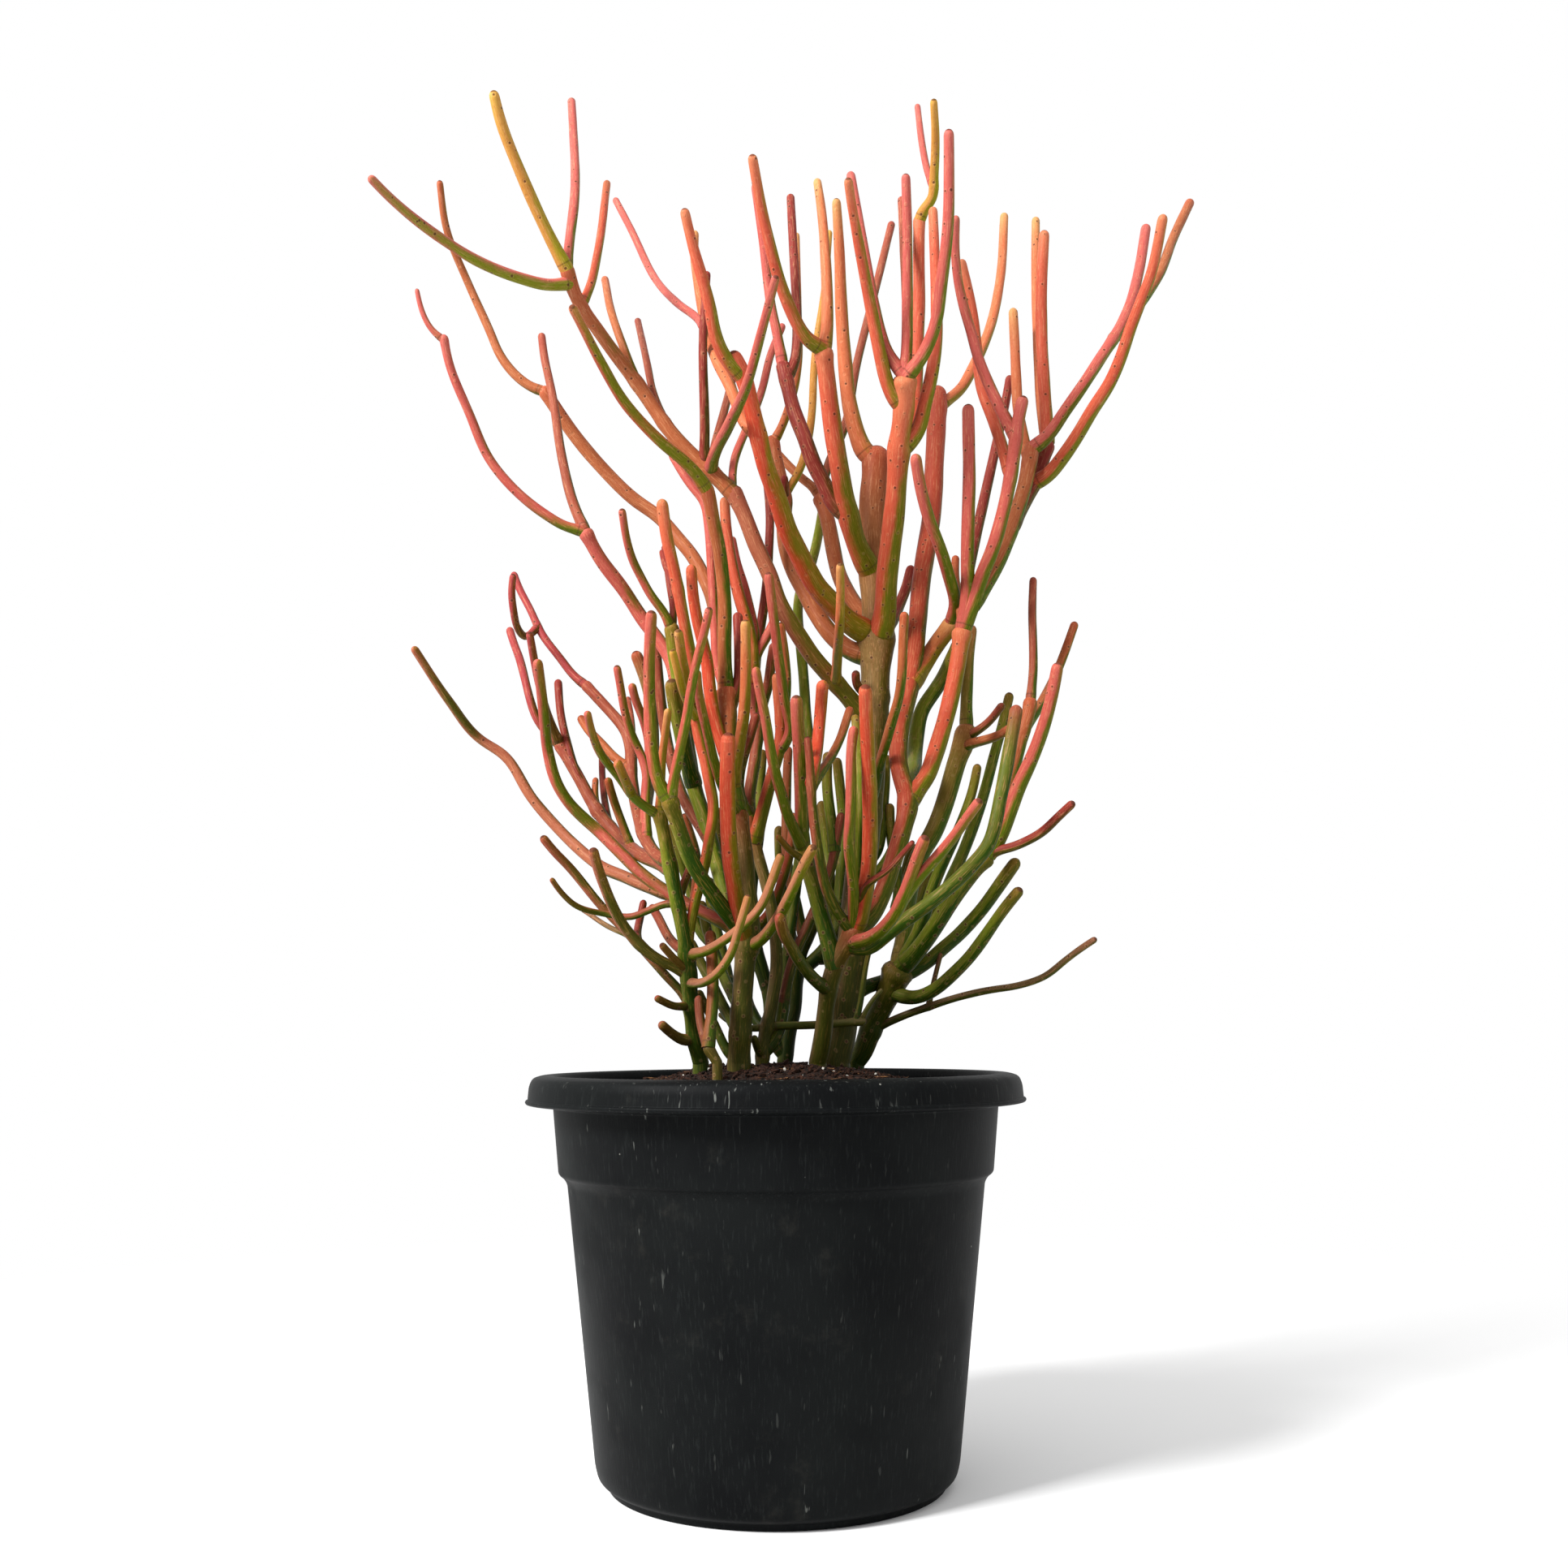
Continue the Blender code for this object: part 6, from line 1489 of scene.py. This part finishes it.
def build_light():
    """Hang the one soft square key light, high on the left in front."""
    data = bpy.data.lights.new("key", "AREA")
    data.shape = "SQUARE"
    data.size = KEY_WIDTH
    data.energy = KEY_POWER
    lamp = bpy.data.objects.new("key", data)
    bpy.context.scene.collection.objects.link(lamp)
    lamp.location = KEY_SPOT
    lamp.rotation_euler = (KEY_AIM - KEY_SPOT).to_track_quat("-Z", "Y").to_euler()


# The floor's radius and level, and where its fade to the white room starts and ends, in metres
FLOOR_RADIUS = 9.0
FLOOR_LEVEL = -0.0005
FLOOR_FADE = (0.35, 1.3)
FLOOR_SIDES = 96


def build_floor():
    """Lay the plain pale floor, which fades into the white room."""
    bm = bmesh.new()
    bmesh.ops.create_circle(bm, cap_ends=True, radius=FLOOR_RADIUS, segments=FLOOR_SIDES)
    bmesh.ops.translate(bm, verts=bm.verts, vec=(0.0, 0.0, FLOOR_LEVEL))
    floor = add_object("floor", bm)
    paint = Finish("pale_floor", 0.9, 0.0)
    place = paint.object_place()
    away = paint.node("ShaderNodeVectorMath", {"operation": "LENGTH"}, {0: place}, "Value")
    fade = paint.step(away, *FLOOR_FADE)
    glow = paint.mix(fade, (0.0, 0.0, 0.0), (1.0, 1.0, 1.0))
    paint.feed(paint.surface.inputs["Emission Color"], glow)
    paint.surface.inputs["Emission Strength"].default_value = 1.0
    colour = paint.mix(fade, (0.8, 0.8, 0.8), (0.0, 0.0, 0.0))
    floor.data.materials.append(paint.finish(colour))


def build_world():
    """Light the whole room a soft white."""
    world = bpy.data.worlds.new("room")
    bpy.context.scene.world = world
    world.use_nodes = True
    glow = world.node_tree.nodes["Background"]
    glow.inputs["Color"].default_value = (1.0, 1.0, 1.0, 1.0)
    glow.inputs["Strength"].default_value = 1.0


def colour_setting(name, description, screen):
    """Make a colour setting whose default is written as screen bytes."""
    return FloatVectorProperty(
        name=name,
        description=description,
        default=linear(*screen),
        min=0.0,
        max=1.0,
        subtype="COLOR",
    )


class ShootSettings(bpy.types.PropertyGroup):
    """How the shoots swell and waver, and the colours of what is dark on their skin."""

    foot_swell: FloatProperty(
        name="Foot swell",
        description="Share by which a shoot widens at its foot",
        default=0.14,
        subtype="FACTOR",
    )
    knob_swell: FloatProperty(
        name="Knob swell",
        description="Share by which a stem widens at a joint",
        default=0.1,
        subtype="FACTOR",
    )
    waver: FloatProperty(
        name="Waver",
        description="Share by which the girth wanders",
        default=0.05,
        subtype="FACTOR",
    )
    scar_colour: colour_setting("Leaf scars", "Colour of the leaf scars", (60, 28, 20))
    cap_colour: colour_setting("Dry caps", "Colour of the dry caps of old tips", (66, 36, 26))


class PotSettings(bpy.types.PropertyGroup):
    """How finely the pot is turned, and the colours of its plastic."""

    sides: IntProperty(name="Sides", description="Sides of the turned pot", default=160)
    dark_plastic: colour_setting("Dark plastic", "Colour of the plastic's dark clouds", (7, 8, 9))
    pale_plastic: colour_setting("Pale plastic", "Colour of its paler clouds", (15, 17, 17))
    scuff_colour: colour_setting("Scuffs", "Colour of the scuffs and nicks", (88, 90, 86))


class SoilSettings(bpy.types.PropertyGroup):
    """How the soil is heaped, and the colours of its bark."""

    sides: IntProperty(name="Sides", description="Sides of the turned heap", default=160)
    lump: FloatProperty(
        name="Lumps", description="Height of the soil's lumps in millimetres", default=2.0
    )
    seed: IntProperty(name="Seed", description="Chooses how the loose bits fall", default=7)
    dark_bark: colour_setting("Dark bark", "Colour of the heap's dark crumbs", (15, 10, 8))
    pale_bark: colour_setting("Pale bark", "Colour of the heap's pale crumbs", (44, 28, 20))


class CACTUS_OT_canes(bpy.types.Operator):
    """Build the canes of the cactus"""

    bl_idname = "cactus.canes"
    bl_label = "Build canes"

    def execute(self, context):
        for name, rows in CANES.items():
            build_cane(name, rows, context.scene.cactus_shoots)
        return {"FINISHED"}


class CACTUS_OT_pot(bpy.types.Operator):
    """Build the nursery pot"""

    bl_idname = "cactus.pot"
    bl_label = "Build pot"

    def execute(self, context):
        build_pot(context.scene.cactus_pot)
        return {"FINISHED"}


class CACTUS_OT_soil(bpy.types.Operator):
    """Heap the soil in the pot"""

    bl_idname = "cactus.soil"
    bl_label = "Build soil"

    def execute(self, context):
        build_soil(context.scene.cactus_soil)
        return {"FINISHED"}


class CACTUS_OT_stage(bpy.types.Operator):
    """Lay the floor, hang the lights and stand the camera"""

    bl_idname = "cactus.stage"
    bl_label = "Build stage"

    def execute(self, context):
        build_floor()
        build_world()
        build_light()
        build_camera()
        context.scene.view_settings.view_transform = "Standard"
        return {"FINISHED"}


class CACTUS_PT_panel(bpy.types.Panel):
    """The buttons that build each piece"""

    bl_idname = "CACTUS_PT_panel"
    bl_label = "Pencil cactus"
    bl_space_type = "VIEW_3D"
    bl_region_type = "UI"
    bl_category = "Cactus"

    def draw(self, context):
        for group, operator in STEPS:
            if group:
                for key in getattr(context.scene, group).__annotations__:
                    self.layout.prop(getattr(context.scene, group), key)
            self.layout.operator(operator)


STEPS = (
    ("cactus_shoots", "cactus.canes"),
    ("cactus_pot", "cactus.pot"),
    ("cactus_soil", "cactus.soil"),
    ("", "cactus.stage"),
)
GROUPS = {
    "cactus_shoots": ShootSettings,
    "cactus_pot": PotSettings,
    "cactus_soil": SoilSettings,
}
CLASSES = (
    *GROUPS.values(),
    CACTUS_OT_canes,
    CACTUS_OT_pot,
    CACTUS_OT_soil,
    CACTUS_OT_stage,
    CACTUS_PT_panel,
)


def register():
    """Register the classes and the settings."""
    for item in CLASSES:
        bpy.utils.register_class(item)
    for name, group in GROUPS.items():
        setattr(bpy.types.Scene, name, PointerProperty(type=group))


def unregister():
    """Take the settings and the classes out again."""
    for name in GROUPS:
        delattr(bpy.types.Scene, name)
    for item in reversed(CLASSES):
        bpy.utils.unregister_class(item)


def main():
    """Build every piece in order."""
    register()
    bpy.ops.cactus.canes()
    bpy.ops.cactus.pot()
    bpy.ops.cactus.soil()
    bpy.ops.cactus.stage()


if __name__ == "__main__":
    main()
